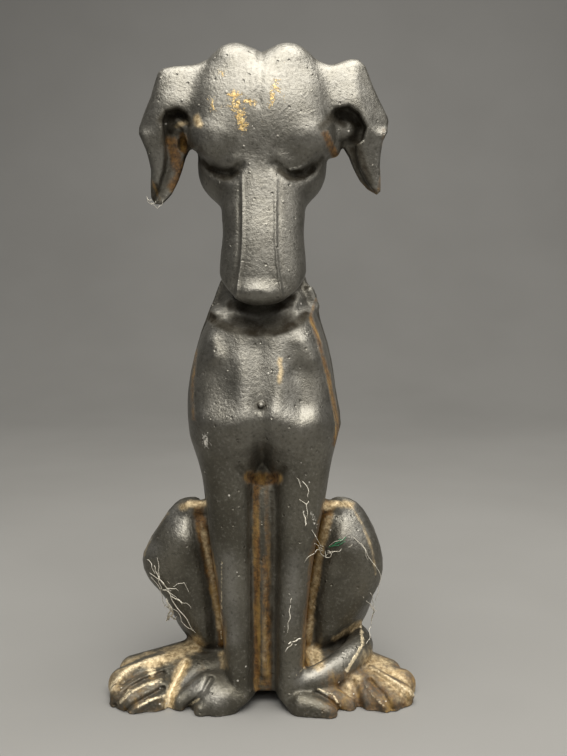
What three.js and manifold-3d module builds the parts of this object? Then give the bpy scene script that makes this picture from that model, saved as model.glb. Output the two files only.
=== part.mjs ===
// Seated hound, one solid iron casting. Millimetres, +Z up, front faces -Y.
// The form is a field of smoothly joined ellipsoids, tapered bars and stacked sections,
// meshed once, then cut flat underneath and arched between the forepaws.
import * as THREE from 'three';
import Module from 'manifold-3d';

// ---- driving dimensions ----
const HEIGHT = 400;            // foot to crown
const K = HEIGHT / 400;        // everything below is drawn for a 400 mm casting
const CELL = 3.2;              // meshing cell
const TRIANGLES = 9400;        // kept after thinning
const EAR_ROUND = 4.6;         // edge radius of the ear flaps
const HAUNCH_ROUND = 13;       // edge radius of the thigh panels
const ARCH_R = 22, ARCH_Z = -15, ARCH_X = 1, ARCH_BACK = -14;   // recess between the forepaws
const EYE = [13, -652, 290];   // relief lines are laid out on the plane y = SHEET
const SHEET = -40;             // and cast back onto the body from this point
const RANGE = { x: [-106, 106], y: [-68, 78], z: [-5, 406] };

// ---- field helpers ----
const clamp = (v, a, b) => Math.min(b, Math.max(a, v));
const smin = (a, b, k) => { const h = clamp(0.5 + 0.5 * (b - a) / k, 0, 1); return b + (a - b) * h - k * h * (1 - h); };
const smax = (a, b, k) => -smin(-a, -b, k);
const step = (a, b, v) => { const t = clamp((v - a) / (b - a), 0, 1); return t * t * (3 - 2 * t); };

// smooth monotone curve through (position, value) knots
function tab(knots) {
  const n = knots.length, xs = knots.map(k => k[0]), ys = knots.map(k => k[1]);
  const h = [], s = [], m = new Array(n).fill(0);
  for (let i = 0; i < n - 1; i++) { h.push(xs[i + 1] - xs[i]); s.push((ys[i + 1] - ys[i]) / h[i]); }
  for (let i = 1; i < n - 1; i++) if (s[i - 1] * s[i] > 0) m[i] = 2 * s[i - 1] * s[i] / (s[i - 1] + s[i]);
  m[0] = s[0]; m[n - 1] = s[n - 2];
  return v => {
    let i = 0;
    while (i < n - 2 && v > xs[i + 1]) i++;
    const t = clamp((v - xs[i]) / h[i], 0, 1), t2 = t * t, t3 = t2 * t;
    return (2 * t3 - 3 * t2 + 1) * ys[i] + (t3 - 2 * t2 + t) * h[i] * m[i]
      + (3 * t2 - 2 * t3) * ys[i + 1] + (t3 - t2) * h[i] * m[i + 1];
  };
}

function ell(x, y, z, c, r) {
  let a = (x - c[0]) / r[0], b = (y - c[1]) / r[1], d = (z - c[2]) / r[2];
  const k0 = Math.hypot(a, b, d);
  return k0 * (k0 - 1) / (Math.hypot(a / r[0], b / r[1], d / r[2]) + 1e-6);
}
function sell(x, y, z, c, r, n) {
  const a = Math.abs(x - c[0]) / r[0], b = Math.abs(y - c[1]) / r[1], d = Math.abs(z - c[2]) / r[2];
  const k0 = (a ** n + b ** n + d ** n + 1e-9) ** (1 / n);
  return k0 * (k0 - 1) / (Math.hypot(a / r[0], b / r[1], d / r[2]) + 1e-6);
}
function cap(x, y, z, a, b, ra, rb, sy = 1, sz = 1) {
  const px = x - a[0], py = (y - a[1]) / sy, pz = (z - a[2]) / sz;
  const bx = b[0] - a[0], by = (b[1] - a[1]) / sy, bz = (b[2] - a[2]) / sz;
  const h = clamp((px * bx + py * by + pz * bz) / (bx * bx + by * by + bz * bz), 0, 1);
  return (Math.hypot(px - h * bx, py - h * by, pz - h * bz) - (ra + h * (rb - ra))) * Math.min(1, sy, sz);
}
// Catmull-Rom curve through stations, k steps to each span
function spline(a, b, c, e, t) {
  return b.map((v, m) => 0.5 * (2 * v + (c[m] - a[m]) * t + (2 * a[m] - 5 * v + 4 * c[m] - e[m]) * t * t
    + (3 * v - a[m] - 3 * c[m] + e[m]) * t * t * t));
}
function rounded(pts, k) {
  const out = [], n = pts.length;
  for (let i = 0; i + 1 < n; i++) for (let j = 0; j < k; j++)
    out.push(spline(pts[Math.max(i - 1, 0)], pts[i], pts[i + 1], pts[Math.min(i + 2, n - 1)], j / k));
  out.push(pts[n - 1]);
  return out;
}
function loop(pts, k) {
  const out = [], n = pts.length;
  for (let i = 0; i < n; i++) for (let j = 0; j < k; j++)
    out.push(spline(pts[(i + n - 1) % n], pts[i], pts[(i + 1) % n], pts[(i + 2) % n], j / k));
  return out;
}
const fineBars = new Map();
function path(x, y, z, pts, k, sy = 1, sz = 1) {
  const key = pts.join();
  let fine = fineBars.get(key);
  if (!fine) { fine = rounded(pts, k); fineBars.set(key, fine); }
  let d = 1e9;
  for (let i = 0; i + 1 < fine.length; i++)
    d = Math.min(d, cap(x, y, z, fine[i], fine[i + 1], fine[i][3], fine[i + 1][3], sy, sz));
  return d;
}
function poly(x, z, pts) {
  let d = 1e9, sg = 1;
  for (let i = 0, n = pts.length; i < n; i++) {
    const [ax, az] = pts[i], [bx, bz] = pts[(i + n - 1) % n];
    const ex = bx - ax, ez = bz - az, wx = x - ax, wz = z - az;
    const h = clamp((wx * ex + wz * ez) / (ex * ex + ez * ez), 0, 1);
    d = Math.min(d, (wx - ex * h) ** 2 + (wz - ez * h) ** 2);
    const c1 = z >= az, c2 = z < bz, c3 = ex * wz > ez * wx;
    if ((c1 && c2 && c3) || (!c1 && !c2 && !c3)) sg = -sg;
  }
  return sg * Math.sqrt(d);
}
function plate(x, y, z, pts, yc, t, r) {
  const a = poly(x, z, pts) + r, b = Math.abs(y - yc) - t + r;
  return Math.hypot(Math.max(a, 0), Math.max(b, 0)) + Math.min(Math.max(a, b), 0) - r;
}
// stack of superellipse sections; rows are z, centre x, half width, front y, back y
function column(rows, n, scale = 0.9) {
  const [xc, w, yf, yb] = [1, 2, 3, 4].map(i => tab(rows.map(r => [r[0], r[i]])));
  return (x, y, z) => {
    const W = w(z), f = yf(z), g = yb(z), dp = (g - f) / 2;
    const a = Math.abs(x - xc(z)) / W, b = Math.abs(y - (f + g) / 2) / dp;
    const q = (a ** n + b ** n + 1e-9) ** (1 / n);
    if (q <= 0.35) return (q - 1) * Math.min(W, dp) * scale;
    const gr = Math.hypot(a / W, b / dp) / q + 1e-4;
    return (q - 1) * q / (gr * q + 1e-6) * scale;
  };
}
function mark(u, v, pts, w) {
  let best = 1e9;
  for (let i = 0; i + 1 < pts.length; i++) {
    const [ax, az] = pts[i], ex = pts[i + 1][0] - ax, ez = pts[i + 1][1] - az, wx = u - ax, wz = v - az;
    const h = clamp((wx * ex + wz * ez) / (ex * ex + ez * ez), 0, 1);
    best = Math.min(best, (wx - h * ex) ** 2 + (wz - h * ez) ** 2);
  }
  return Math.exp(-best / (w * w));
}

// ---- section curves and outlines ----
const stack1 = column([[243, 0.6, 25, -38, 0], [249, 0.6, 25.8, -43.4, 1], [255, 0.7, 26.2, -46, 2], [262, 0.8, 26, -46.8, 3], [272, 0.8, 25.5, -45.4, 4], [288, 1, 24.2, -42, 6], [303, 1, 25, -37.6, 8], [318, 0.4, 25, -33.6, 10], [332, -1, 21.5, -29.8, 10], [348, -2, 16, -26.6, 10], [362, -2, 10, -22, 10]], 2.35);
const earL = [[-28, 384], [-34, 389], [-41.2, 387.6], [-53, 386.7], [-59.3, 385.5], [-62.4, 383.6], [-64.1, 378.3], [-66.7, 369.3], [-71.1, 359.5], [-74.4, 351.2], [-74.3, 347.1], [-72.3, 342.9], [-69.9, 337.1], [-68.3, 331.2], [-67.1, 325.4], [-67.6, 317.8], [-67.8, 309.5], [-65.8, 304], [-60.2, 303.2], [-54.1, 311.1], [-50.6, 319.5], [-48.3, 326.2], [-46.5, 332.9], [-44, 338], [-38, 342], [-28, 350]];
const earR = [[28, 384], [33.6, 389], [40.7, 387.6], [45.2, 388.6], [53.2, 391.2], [57.7, 391], [62.2, 386.8], [66.8, 375.5], [71.4, 365.9], [76, 357.1], [76.5, 354.5], [75.3, 347.5], [72.6, 342.2], [71.4, 335.1], [71, 328], [71.6, 319], [71.7, 312.8], [69.4, 310.6], [63.9, 313.7], [59.3, 319], [55.6, 326.2], [52.8, 333.3], [49.6, 338.6], [46.5, 339], [38, 340], [28, 350]];
const curve1 = tab([[303, -10.5], [318, -12], [335, -13.5], [350, -16], [362, -16.5], [375, -13], [386, -8.5], [393, -5]]);
const curve2 = tab([[303, -4], [320, 1], [340, 6], [356, 11], [372, 12], [393, 9]]);
const curve3 = tab([[303, -61], [330, -63], [348, -62], [365, -58], [384, -57]]);
const curve4 = tab([[303, 0.35], [344, 0.35], [352, 0.75], [392, 0.62]]);
const curve5 = tab([[303, -6.2], [318, -5], [335, -4.5], [350, -5], [362, -6]]);
const curve6 = tab([[311, 68], [330, 66], [346, 64], [355, 62.2], [365, 57.7], [378, 56], [391, 57.4]]);
const curve7 = tab([[311, 0.25], [345, 0.3], [353, 0.85], [392, 0.7]]);
const curve8 = tab([[303, -6.5], [320, -4.5], [335, -4], [350, -5], [362, -6]]);
const curve9 = tab([[247, -14.9], [250, -14.5], [261.4, -13], [271.7, -11.5], [288, -10.6], [300, -10.4], [330, -10.8]]);
const curve10 = tab([[247, 12.9], [250, 12.6], [261.4, 10.9], [271.7, 9.6], [288, 8.8], [300, 8.8], [330, 9.6]]);
const stack2 = column([[0, 0.5, 38, -12, 66], [30, 0.5, 40, -14, 66], [60, 0.5, 38.5, -16, 64.5], [90, 0.6, 37, -17, 62], [112, 0.8, 37.3, -20, 60], [128, 1, 38.2, -24.5, 58.5], [142, 1.2, 40.2, -31.5, 57], [154, 1.2, 42.8, -41, 55.5], [164, 1.2, 45.2, -48.6, 54], [175, 0.2, 46.4, -51.4, 53], [188, -0.6, 45.6, -49.6, 52.2], [202, -0.6, 43.6, -46, 51], [214, -0.3, 41, -42.6, 49], [226, 0.2, 37.6, -38.8, 47], [236, 0.4, 34, -34.6, 44.5], [243, 0.5, 31.6, -30, 43], [252, 0.8, 28.6, -24.5, 41], [262, 1.2, 25, -22, 39], [276, 1.2, 21, -18, 36]], 2.75);
const curve11 = tab([[130, 7], [142, 7], [152, 5], [164, 2.4], [174, 0.8], [182, 0]]);
const stack3 = column([[0, -13.6, 9.4, -49, -8], [20, -13.9, 9.4, -48.6, -8], [38, -14.3, 9.9, -47.6, -8], [61, -15.6, 10.8, -46.2, -8], [90, -17.9, 12.7, -44.6, -6], [112, -19.2, 14, -43.4, -4], [129, -20, 14.8, -42.9, -2], [150, -21.5, 17.2, -43.2, 4], [170, -23, 20, -43.5, 10], [192, -23, 20, -40, 10]], 2.5);
const stack4 = column([[0, 16.8, 9.6, -49.5, -8], [20, 16.9, 9.6, -48.8, -8], [46, 17.1, 9.9, -47.4, -8], [75, 18.4, 11, -45.6, -8], [109, 21.1, 13.8, -43.6, -4], [129, 23, 15.9, -42.9, -2], [150, 24, 18.2, -43.2, 4], [170, 24.5, 20, -43.5, 10], [192, 24, 20, -40, 10]], 2.5);
const stack5 = column([[0, 1.2, 9.5, -38.6, 0], [60, 1.2, 9.5, -37, 0], [110, 1.1, 9.5, -35.2, 0], [128, 1.1, 9.5, -33, 0], [142, 1, 9, -29.5, 0], [152, 1, 9, -25, 0]], 6);
const haL = loop([[-40.5, 120], [-46.7, 121.6], [-53.6, 119.4], [-60.6, 111.7], [-69.6, 96.8], [-76.4, 85.1], [-75.7, 75.9], [-67.1, 62.2], [-57.8, 47], [-49.1, 34.4], [-42.8, 26.4], [-30.7, 23.7], [-26.8, 31.7], [-31, 58.2], [-35.8, 90.9], [-38.1, 110.4]], 2);
const haR = loop([[43.3, 120], [51.4, 121.6], [60.2, 117.4], [67.9, 105.8], [75, 89], [76.1, 74.6], [72.2, 60.8], [63.5, 46.3], [55.3, 35.7], [46.5, 26.4], [31.2, 23.7], [27.3, 31.7], [29.8, 58.2], [36.6, 90.9], [40.9, 110.4]], 2);
const curve12 = tab([[20, 5], [40, 2], [60, 0.5], [84, 0], [96, 1.6], [106, 5], [114, 9.5], [122, 15]]);
const curve13 = tab([[20, 40], [50, 42], [80, 36], [105, 20], [122, 10]]);
const curve14 = tab([[24, 27], [53, 28], [65, 30], [86, 34.5], [112, 41]]);
const curve15 = tab([[24, 32.5], [60, 33.5], [94, 38], [117, 45]]);

// ---- the animal ----
function dog(x, y, z) {
  const front = step(6, -8, y), kk = (SHEET - EYE[1]) / Math.max(y - EYE[1], 100);
  const u = EYE[0] + (x - EYE[0]) * kk, v = EYE[2] + (z - EYE[2]) * kk;
  let d = 200;
  if (z > 222) {
    // ---- head ----
    let g = ell(x, y, z, [0, 1, 352], [41, 33, 42]);
    g = smin(g, ell(x, y, z, [0, -3, 369], [18, 20, 24.5]), 8);
    for (const s of [-1, 1]) {
      g = smin(g, cap(x, y, z, [s * 15.6, -3, 383.6], [s * 24.6, -12.5, 344.5], 16.6, 18.6), 6);
      g = smin(g, ell(x, y, z, [s * 27, 3, 362], [17.5, 24, 28]), 8);
      g = smin(g, ell(x, y, z, [s * 15.5, 1, 326], [23.5, 24, 23]), 6);
    }
    // muzzle
    let mz = stack1(x, y, z);
    let zb = 247.2 + 13.5 * (Math.abs(x - 0.5) / 26) ** 2.6 + 0.05 * (y + 45);
    mz = smax(mz, zb - z, 4.5);
    mz = smax(mz, z - 366, 8);
    g = smin(g, mz, 9);
    // nose pad
    g = smin(g, ell(x, y, z, [-0.6, -41, 254.2], [15.5, 8.6, 7.6]), 4);
    g = g - 0.5 * mark(u, v, [[-8.2, 253.9], [-3, 255.7], [5.1, 253.4]], 2.2) * front;
    // ---- neck ----
    let nk = path(x, y, z, [[1, 3, 352, 20.5], [1, 5, 308, 19.6], [1, 10, 258, 21.8]], 2, 1.25);
    g = smin(g, nk, 4);
    // ---- ears ----
    let yf = curve1(z);
    let yb = curve2(z);
    for (const [s, pts] of [[-1, earL], [1, earR]]) {
      let e = plate(x, y, z, pts, (yf + yb) / 2, (yb - yf) / 2, EAR_ROUND);
      // outer flank falls back from the fold
      if (s < 0) {
        let xr = curve3(z);
        let sl = curve4(z);
        e = smax(e, ((xr - x) * sl - (y - yf)) * 0.82, 5);
        let hol = poly(x, z, [[-58.9, 354], [-56.5, 359], [-50, 361], [-44, 358.5], [-40.5, 352], [-39, 340], [-40, 322], [-50, 300], [-60, 297], [-65, 307], [-62.5, 314.5], [-59, 324.6], [-57.6, 333], [-58.2, 343]]);
        let floor = curve5(z);
        e = smax(e, -smax(hol, y - floor, 3), 2.2);
        e = smin(e, ell(x, y, z, [-51, -5.2, 352.5], [6.6, 4, 5]), 3.5);
        e = smin(e, path(x, y, z, [[-50, -8.5, 354, 2.6], [-45.5, -9, 350, 2.1], [-43.6, -8, 342, 1.5]], 2), 1.4);
        e = smax(e, -ell(x, y, z, [-47, -6, 341], [3.6, 7, 4.4]), 1.2);
      } else {
        let xr = curve6(z);
        let sl = curve7(z);
        e = smax(e, ((x - xr) * sl - (y - yf)) * 0.82, 2);
        let hol = poly(x, z, [[34, 351], [37.5, 357.5], [43, 361], [51.7, 362.3], [57.6, 358], [62.3, 350], [60.5, 343], [56.6, 340], [56.8, 334], [58.8, 326], [62.5, 319], [68, 311.5], [66, 305], [52, 305], [40, 330], [34, 340]]);
        let floor = curve8(z);
        e = smax(e, -smax(hol, y - floor, 3), 1.8);
        e = smin(e, sell(x, y, z, [48, -4.8, 349.4], [8.6, 5.2, 6.2], 2.6), 3);
        e = smin(e, sell(x, y, z, [43, -4.5, 342], [5, 6, 9], 2.4), 2.5);
      }
      g = smin(g, e, 4.5);
    }
    // valley down the forehead, softer hollow between the brows
    g = g + 0.7 * mark(u, v, [[0.9, 399.5], [0.3, 385.3], [-0.3, 371], [-0.9, 361.1]], 2.4) * front;
    g = g - 0.45 * mark(u, v, [[-2.5, 391.8], [-3.1, 369.9]], 2.6) * front;
    g = g + 1.1 * mark(u, v, [[-0.8, 385.3], [-2, 363.3], [-3.8, 348.9], [-5.6, 336.6]], 8) * front;
    // closed eyes: a crescent sunk under the brow, with the lid showing in it
    for (const [brow, socket, lid] of [[[[-34.1, 337.7], [-30.1, 333.3], [-25.6, 329.9], [-19.9, 328.2], [-14.7, 329.3]], [[-35.8, 334.4], [-33, 329.9], [-29.6, 326], [-25.7, 323.1], [-21.1, 321.5], [-17.1, 321.5], [-13.6, 323.7], [-11.9, 326]], [[-28, 322.9], [-24, 321.2], [-19.4, 320.9]]], [[[11.6, 331], [17.3, 328.8], [23, 329.3], [28.1, 332.7]], [[8.1, 327.1], [11.6, 324], [15.6, 321.7], [20.2, 320.9], [24.2, 321.7], [28.2, 324.3], [31.6, 327.6], [33.9, 331]], [[17.3, 323.7], [22.4, 324.8], [27, 327.4]]]]) {
      g = g + 2.2 * mark(u, v, socket, 2.8) * front + 2.6 * mark(u, v, socket.slice(3, 6), 3.6) * front;
      g = g - 0.7 * mark(u, v, brow, 3.6) * front;
      g = g - 1.5 * mark(u, v, lid, 1.3) * front;
    }
    // bridge of the nose: a low strip with a bead along each edge
    let fz = step(330, 298, v) * step(249, 253, v) * step(-16, -24, y);
    let ul = curve9(v);
    let ur = curve10(v);
    g = g - 0.25 * step(-1, 1, u - ul) * step(1, -1, u - ur) * fz;
    g = g - (0.95 * Math.exp(-(((u - ul) / 0.9) ** 2)) + 0.85 * Math.exp(-(((u - ur) / 0.9) ** 2))) * fz;
    g = g + (0.3 * Math.exp(-(((u - ul + 1.9) / 1.2) ** 2)) + 0.25 * Math.exp(-(((u - ur - 1.9) / 1.2) ** 2))) * fz;
    d = smin(d, g, 4);
  }
  // ---- trunk ----
  let zc = z - 3.4 * Math.cos(x * 0.131) * step(120, 165, z) * step(226, 200, z);
  let t = stack2(x, y, zc);
  t = smax(t, z - 270, 10);
  // shoulder blades and a low spine
  for (const s of [-1, 1]) {
    t = smin(t, ell(x, y, z, [s * 23, 32, 214], [14, 21, 34]), 9);
  }
  t = t - 1.6 * Math.exp(-((x / 4.5) ** 2)) * step(25, 42, y) * step(256, 236, z) * step(30, 60, z);
  if (z > 110) {
    // neck: recessed below the chin, with slack skin
    let zarc = 232.4 + 9.6 * ((x + 0.5) / 28) ** 2;
    t = t + 5.4 * step(-5.5, 6, z - zarc) * step(268, 250, z) * front;
    t = t - 2 * mark(u, v, [[-26.4, 244], [-20.5, 247.8], [-14.7, 249.9]], 3.4) * front;
    t = t + 1.3 * mark(u, v, [[-27, 238.2], [-19.4, 238.5], [-10.7, 237]], 2.2) * front;
    t = t - 1 * mark(u, v, [[-20.6, 242.3], [-10.1, 241.7]], 3.4) * front;
    t = t - 3.4 * mark(u, v, [[12.1, 243.5], [19.7, 245.8], [25.5, 251]], 6.2) * front;
    t = smin(t, cap(x, y, z, [28.8, -3, 252], [31.6, -3, 243], 3.4, 3.6), 3.5);
    // chest: scooped hollows between soft ridges, full swells below
    t = t - 1.9 * mark(u, v, [[-29.4, 225.5], [-27.3, 216.8]], 5.6) * front;
    t = t - 2.2 * mark(u, v, [[26.4, 224], [29.9, 215.7]], 6.8) * front;
    t = t + 0.7 * mark(u, v, [[-26.1, 205.2], [-22.7, 194.5]], 7.5) * front;
    t = t + 0.4 * mark(u, v, [[-19.3, 222.5], [-19.4, 211.1], [-18.9, 199]], 6) * front;
    t = t - 0.5 * mark(u, v, [[-12.7, 213.1], [-11.5, 198], [-9.2, 186.1]], 5) * front;
    t = t + 1.9 * mark(u, v, [[-2, 220.6], [-0.8, 205.2], [0.3, 190.9]], 6.5) * front;
    t = t - 0.7 * mark(u, v, [[13.3, 207.6], [12.1, 195.7], [8, 184.9]], 4.6) * front;
    t = t + 2 * mark(u, v, [[22.3, 206.7], [23.4, 188]], 6.5) * front;
    t = t + 0.9 * mark(u, v, [[19.2, 220.6], [18, 205.2]], 4.4) * front;
    t = t - 2.5 * mark(u, v, [[-32.3, 176.5], [-22.2, 175.3], [-12.2, 177.1]], 9) * front;
    t = t - 2.9 * mark(u, v, [[6.8, 178.3], [14.5, 177.1], [22.8, 172.9], [32.2, 176.5]], 9) * front;
    t = t + 2.2 * mark(u, v, [[0.4, 183], [0.2, 163.2], [0.2, 148.6]], 5.5) * front;
    let gd = curve11(z);
    t = t + gd * mark(u, v, [[0.3, 182], [0.8, 132]], 5.2) * front;
    t = smin(t, ell(x, y, z, [-0.1, -47.6, 188.6], [2.2, 3.2, 2.2]), 0.6);
    t = smin(t, ell(x, y, z, [-3.2, -49, 183.6], [1.3, 2.2, 1.3]), 0.5);
    // casting flange along the sides
    let rim = plate(x, y, z, [[24, 262], [29.5, 254.5], [33.4, 250], [34, 245], [36, 233.3], [40.2, 221], [43, 208.7], [45.2, 192.3], [48.4, 177], [49.2, 168.7], [46.8, 159.5], [43.6, 150], [41.2, 138], [38, 122], [20, 118]], 1, 2.6, 1.5);
    t = smin(t, rim, 1.8);
    rim = plate(x, y, z, [[-22, 262], [-25.8, 258.8], [-29.4, 249.4], [-34.2, 237.3], [-38.4, 226.5], [-42, 212.8], [-45, 197.8], [-47.3, 184], [-46.1, 167.3], [-41.4, 153.3], [-39.2, 137], [-37.2, 122], [-34, 108], [-20, 106]], 2, 1.8, 1.2);
    t = smin(t, rim, 1.8);
  }
  d = smin(d, t, 3.5);
  if (z < 205) {
    // ---- forelegs ----
    let L = stack3(x, y, z);
    let R = stack4(x, y, z);
    let lg = Math.min(L, R);
    lg = smax(lg, z - 176, 16);
    d = smin(d, lg, 7);
    // web between them, with its keel
    let wb = stack5(x, y, z);
    wb = smax(wb, z - 150, 3);
    d = smin(d, wb, 1.4);
    let keel = path(x, y, z, [[0.8, -29.5, 130, 2.2], [1, -33, 108, 2.8], [1.1, -35, 84, 2.8], [1.2, -36.2, 60, 2.6], [1.2, -37.6, 20, 2.2]], 2);
    d = smin(d, keel, 2.5);
    d = smax(d, -ell(x, y, z, [0.6, -47, 141.5], [7.5, 15, 8.5]), 4.5);
    d = d + 1.4 * mark(u, v, [[-12.9, 148.6], [-8.2, 143.7], [-3.4, 141.9]], 2.6) * front;
    d = d + 1.4 * mark(u, v, [[3.7, 141.9], [8.5, 144.4], [12.7, 148.6]], 2.6) * front;
  }
  if (z < 135) {
    // ---- hind legs ----
    for (const [s, pts] of [[-1, haL], [1, haR]]) {
      let ax = s * x;
      let yf = -21.5 + 0.2 * clamp(ax - 36, 0, 60) + curve12(z);
      let yb = curve13(z);
      let h = plate(x, y, z, pts, (yf + yb) / 2, (yb - yf) / 2, HAUNCH_ROUND);
      // full upper corner, slack below
      h = h - 2.6 * mark(u, v, [[s * 49, 104], [s * 57, 96], [s * 64, 84]], 10) * front;
      h = h + 1.6 * mark(u, v, [[s * 46, 84], [s * 46, 56]], 12) * front;
      // inner edge turns in toward the foreleg
      let xi = (s < 0 ? curve14(z) : curve15(z));
      h = smax(h, ((xi - ax) * 1.1 - (y - yf - 4)) * 0.7, 5);
      let th = (s < 0 ? ell(x, y, z, [-38.5, 22, 57], [25, 33, 40]) : ell(x, y, z, [44, 22, 60], [29, 34, 42]));
      h = smin(h, th, 8);
      d = smin(d, h, 2.5);
      // lip on top
      d = smin(d, cap(x, y, z, [s * 33, -6.5, 115.8], [s * 46, -5.5, 116.4], 4.2, 4.6), 6);
    }
    // sloping strips that close the gap between thigh and foreleg
    d = smin(d, cap(x, y, z, [-35.4, -5, 105.5], [-26.1, -7, 32.1], 8, 8), 2);
    d = smin(d, cap(x, y, z, [42.7, -5, 106.8], [26.1, -7, 22.1], 8, 8), 2);
    d = smin(d, ell(x, y, z, [0, 28, 30], [48, 38, 50]), 10);
  }
  if (z < 70) {
    // foot of the flanks, between forelegs and hind legs
    for (const s of [-1, 1]) {
      d = smin(d, sell(x, y, z, [s * 35, -10, 4], [23, 25, 19], 2.6), 7);
    }
    // ---- left paws ----
    let p = cap(x, y, z, [-41, 6, 12.5], [-83, -6, 7.5], 12.5, 10);
    p = smin(p, cap(x, y, z, [-44, -4, 12], [-87, -23, 6.5], 12.5, 10.2), 5);
    p = smin(p, cap(x, y, z, [-46, -14, 9], [-86, -38, 4], 11.5, 8.4), 5);
    p = smin(p, cap(x, y, z, [-46, -24, 6], [-78, -45.5, 3.2], 10.5, 7.4), 4);
    p = smin(p, cap(x, y, z, [-42, -30, 5], [-66, -43.5, 2.5], 10.5, 6.4), 4);
    let low = step(30, 24, z) * step(10, 0, y);
    p = p - 1 * mark(u, v, [[-60.7, 31.7], [-71.1, 29.2], [-83.5, 22.7], [-92.3, 10.5]], 2.2) * low;
    p = p + 1.3 * mark(u, v, [[-62.6, 25.3], [-76.2, 20.2], [-85.5, 13.1], [-91.3, 4]], 2.2) * low;
    p = p - 0.7 * mark(u, v, [[-65.8, 20.8], [-76.2, 16.9], [-85, 9.8], [-88.8, 2.7]], 2) * low;
    p = p + 2.1 * mark(u, v, [[-60.8, 21.1], [-71.2, 17.1], [-80.1, 12.1], [-87.2, 5.4], [-90.1, 0.1]], 1.6) * low;
    p = p - 1 * mark(u, v, [[-62.4, 16], [-72.5, 13.4], [-82.1, 8.1], [-87.9, 1.4]], 2.2) * low;
    p = p + 2.2 * mark(u, v, [[-61, 10.8], [-68.8, 6.3], [-77.2, 1.7], [-83.4, -3.2]], 1.7) * low;
    p = p - 1 * mark(u, v, [[-62.9, 5], [-70.2, 2.4], [-76, -2.5]], 1.8) * low;
    p = smax(p, y - 16, 5);
    d = smin(d, p, 4);
    let q = ell(x, y, z, [-26, -36.5, 6], [23, 18.5, 13]);
    q = smin(q, cap(x, y, z, [-33.5, -38.5, 13], [-49.5, -44, 4.2], 7, 5.6), 2.5);
    q = smin(q, cap(x, y, z, [-22, -47.5, 8.5], [-36.5, -52, 3], 6.2, 4.4), 2.5);
    q = smin(q, cap(x, y, z, [-15, -44, 5], [-27, -50.5, 3], 8, 6), 2.5);
    q = q + 2 * mark(u, v, [[-31.5, 17.3], [-35.5, 8.7], [-41.8, 2.7], [-46.2, -1.9]], 1.8) * low;
    d = smin(d, q, 3);
    d = d + 2.4 * mark(u, v, [[-47.1, 25.9], [-52, 17.3], [-56.2, 8.2], [-58.5, -3.2]], 2) * low;
    // ---- right paws ----
    low = step(26, 20, z) * step(8, -2, y);
    p = cap(x, y, z, [48, 5, 12], [80, -7, 6.5], 11.5, 9);
    p = smin(p, cap(x, y, z, [46, 0, 9], [87.5, -20, 5], 11.5, 9.2), 4);
    p = smin(p, cap(x, y, z, [50, -12, 8], [85, -36, 4], 11, 8.2), 5);
    p = smin(p, cap(x, y, z, [52, -22, 7], [76.5, -43.5, 3.2], 10.5, 7.6), 5);
    p = smin(p, cap(x, y, z, [50, -26, 5], [66, -41.5, 2.6], 9.5, 6.6), 4);
    p = p - 0.9 * mark(u, v, [[66, 25], [75.7, 19.4], [89.2, 10.2], [93.2, 5.9]], 1.5) * low;
    p = p + 0.9 * mark(u, v, [[68.5, 20.8], [74.7, 16.3], [82.1, 10.5], [89.4, 2.7]], 1.4) * low;
    p = p + 2.2 * mark(u, v, [[66.1, 15.9], [69.8, 11.4], [74.8, 6.3], [79.5, -2.5]], 1.9) * low;
    p = p - 0.9 * mark(u, v, [[62.4, 17.6], [66.7, 10.1], [74.3, -1.2]], 2) * low;
    p = smax(p, y - 14, 5);
    p = smin(p, ell(x, y, z, [50, 9, 14], [14, 13, 14]), 4);
    d = smin(d, p, 4);
    q = ell(x, y, z, [30, -38, 2.5], [22, 18.5, 10.5]);
    q = smin(q, cap(x, y, z, [24, -49.5, 5], [40.5, -54, 2.4], 7.2, 5), 2.5);
    q = smin(q, cap(x, y, z, [38, -38, 7], [53, -44.6, 2], 6.4, 4.2), 2.5);
    q = q + 2.2 * mark(u, v, [[33, 8.1], [40.4, 3.8], [45.9, -0.6], [49.7, -5.8]], 1.5) * low;
    d = smin(d, q, 3);
    d = d + 1.9 * mark(u, v, [[55.6, 15], [59.1, 5.9], [61.1, -3.2]], 2.2) * low;
  }
  if (z < 60) {
    // ---- tail, round the right side ----
    let tail = path(x, y, z, [[10, 56, 14, 10], [34, 48, 17, 10], [52, 30, 20, 9.6], [61, 8, 22.5, 9.2], [61, -8, 22.5, 9], [54.5, -19, 20.5, 9], [45, -29, 17.5, 8.8], [36, -35.5, 15.6, 8.2], [27, -39.5, 15, 6.8], [18.5, -42.5, 15.2, 4.4], [12, -44, 15.4, 2]], 2, 1, 1.12);
    d = smin(d, tail, 2.5);
    // thin casting flash round the foot
    d = d - 0.9 * Math.exp(-((z / 1.5) ** 2));
  }
  d = Math.max(d, -z - 3);
  return d;
}


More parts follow.
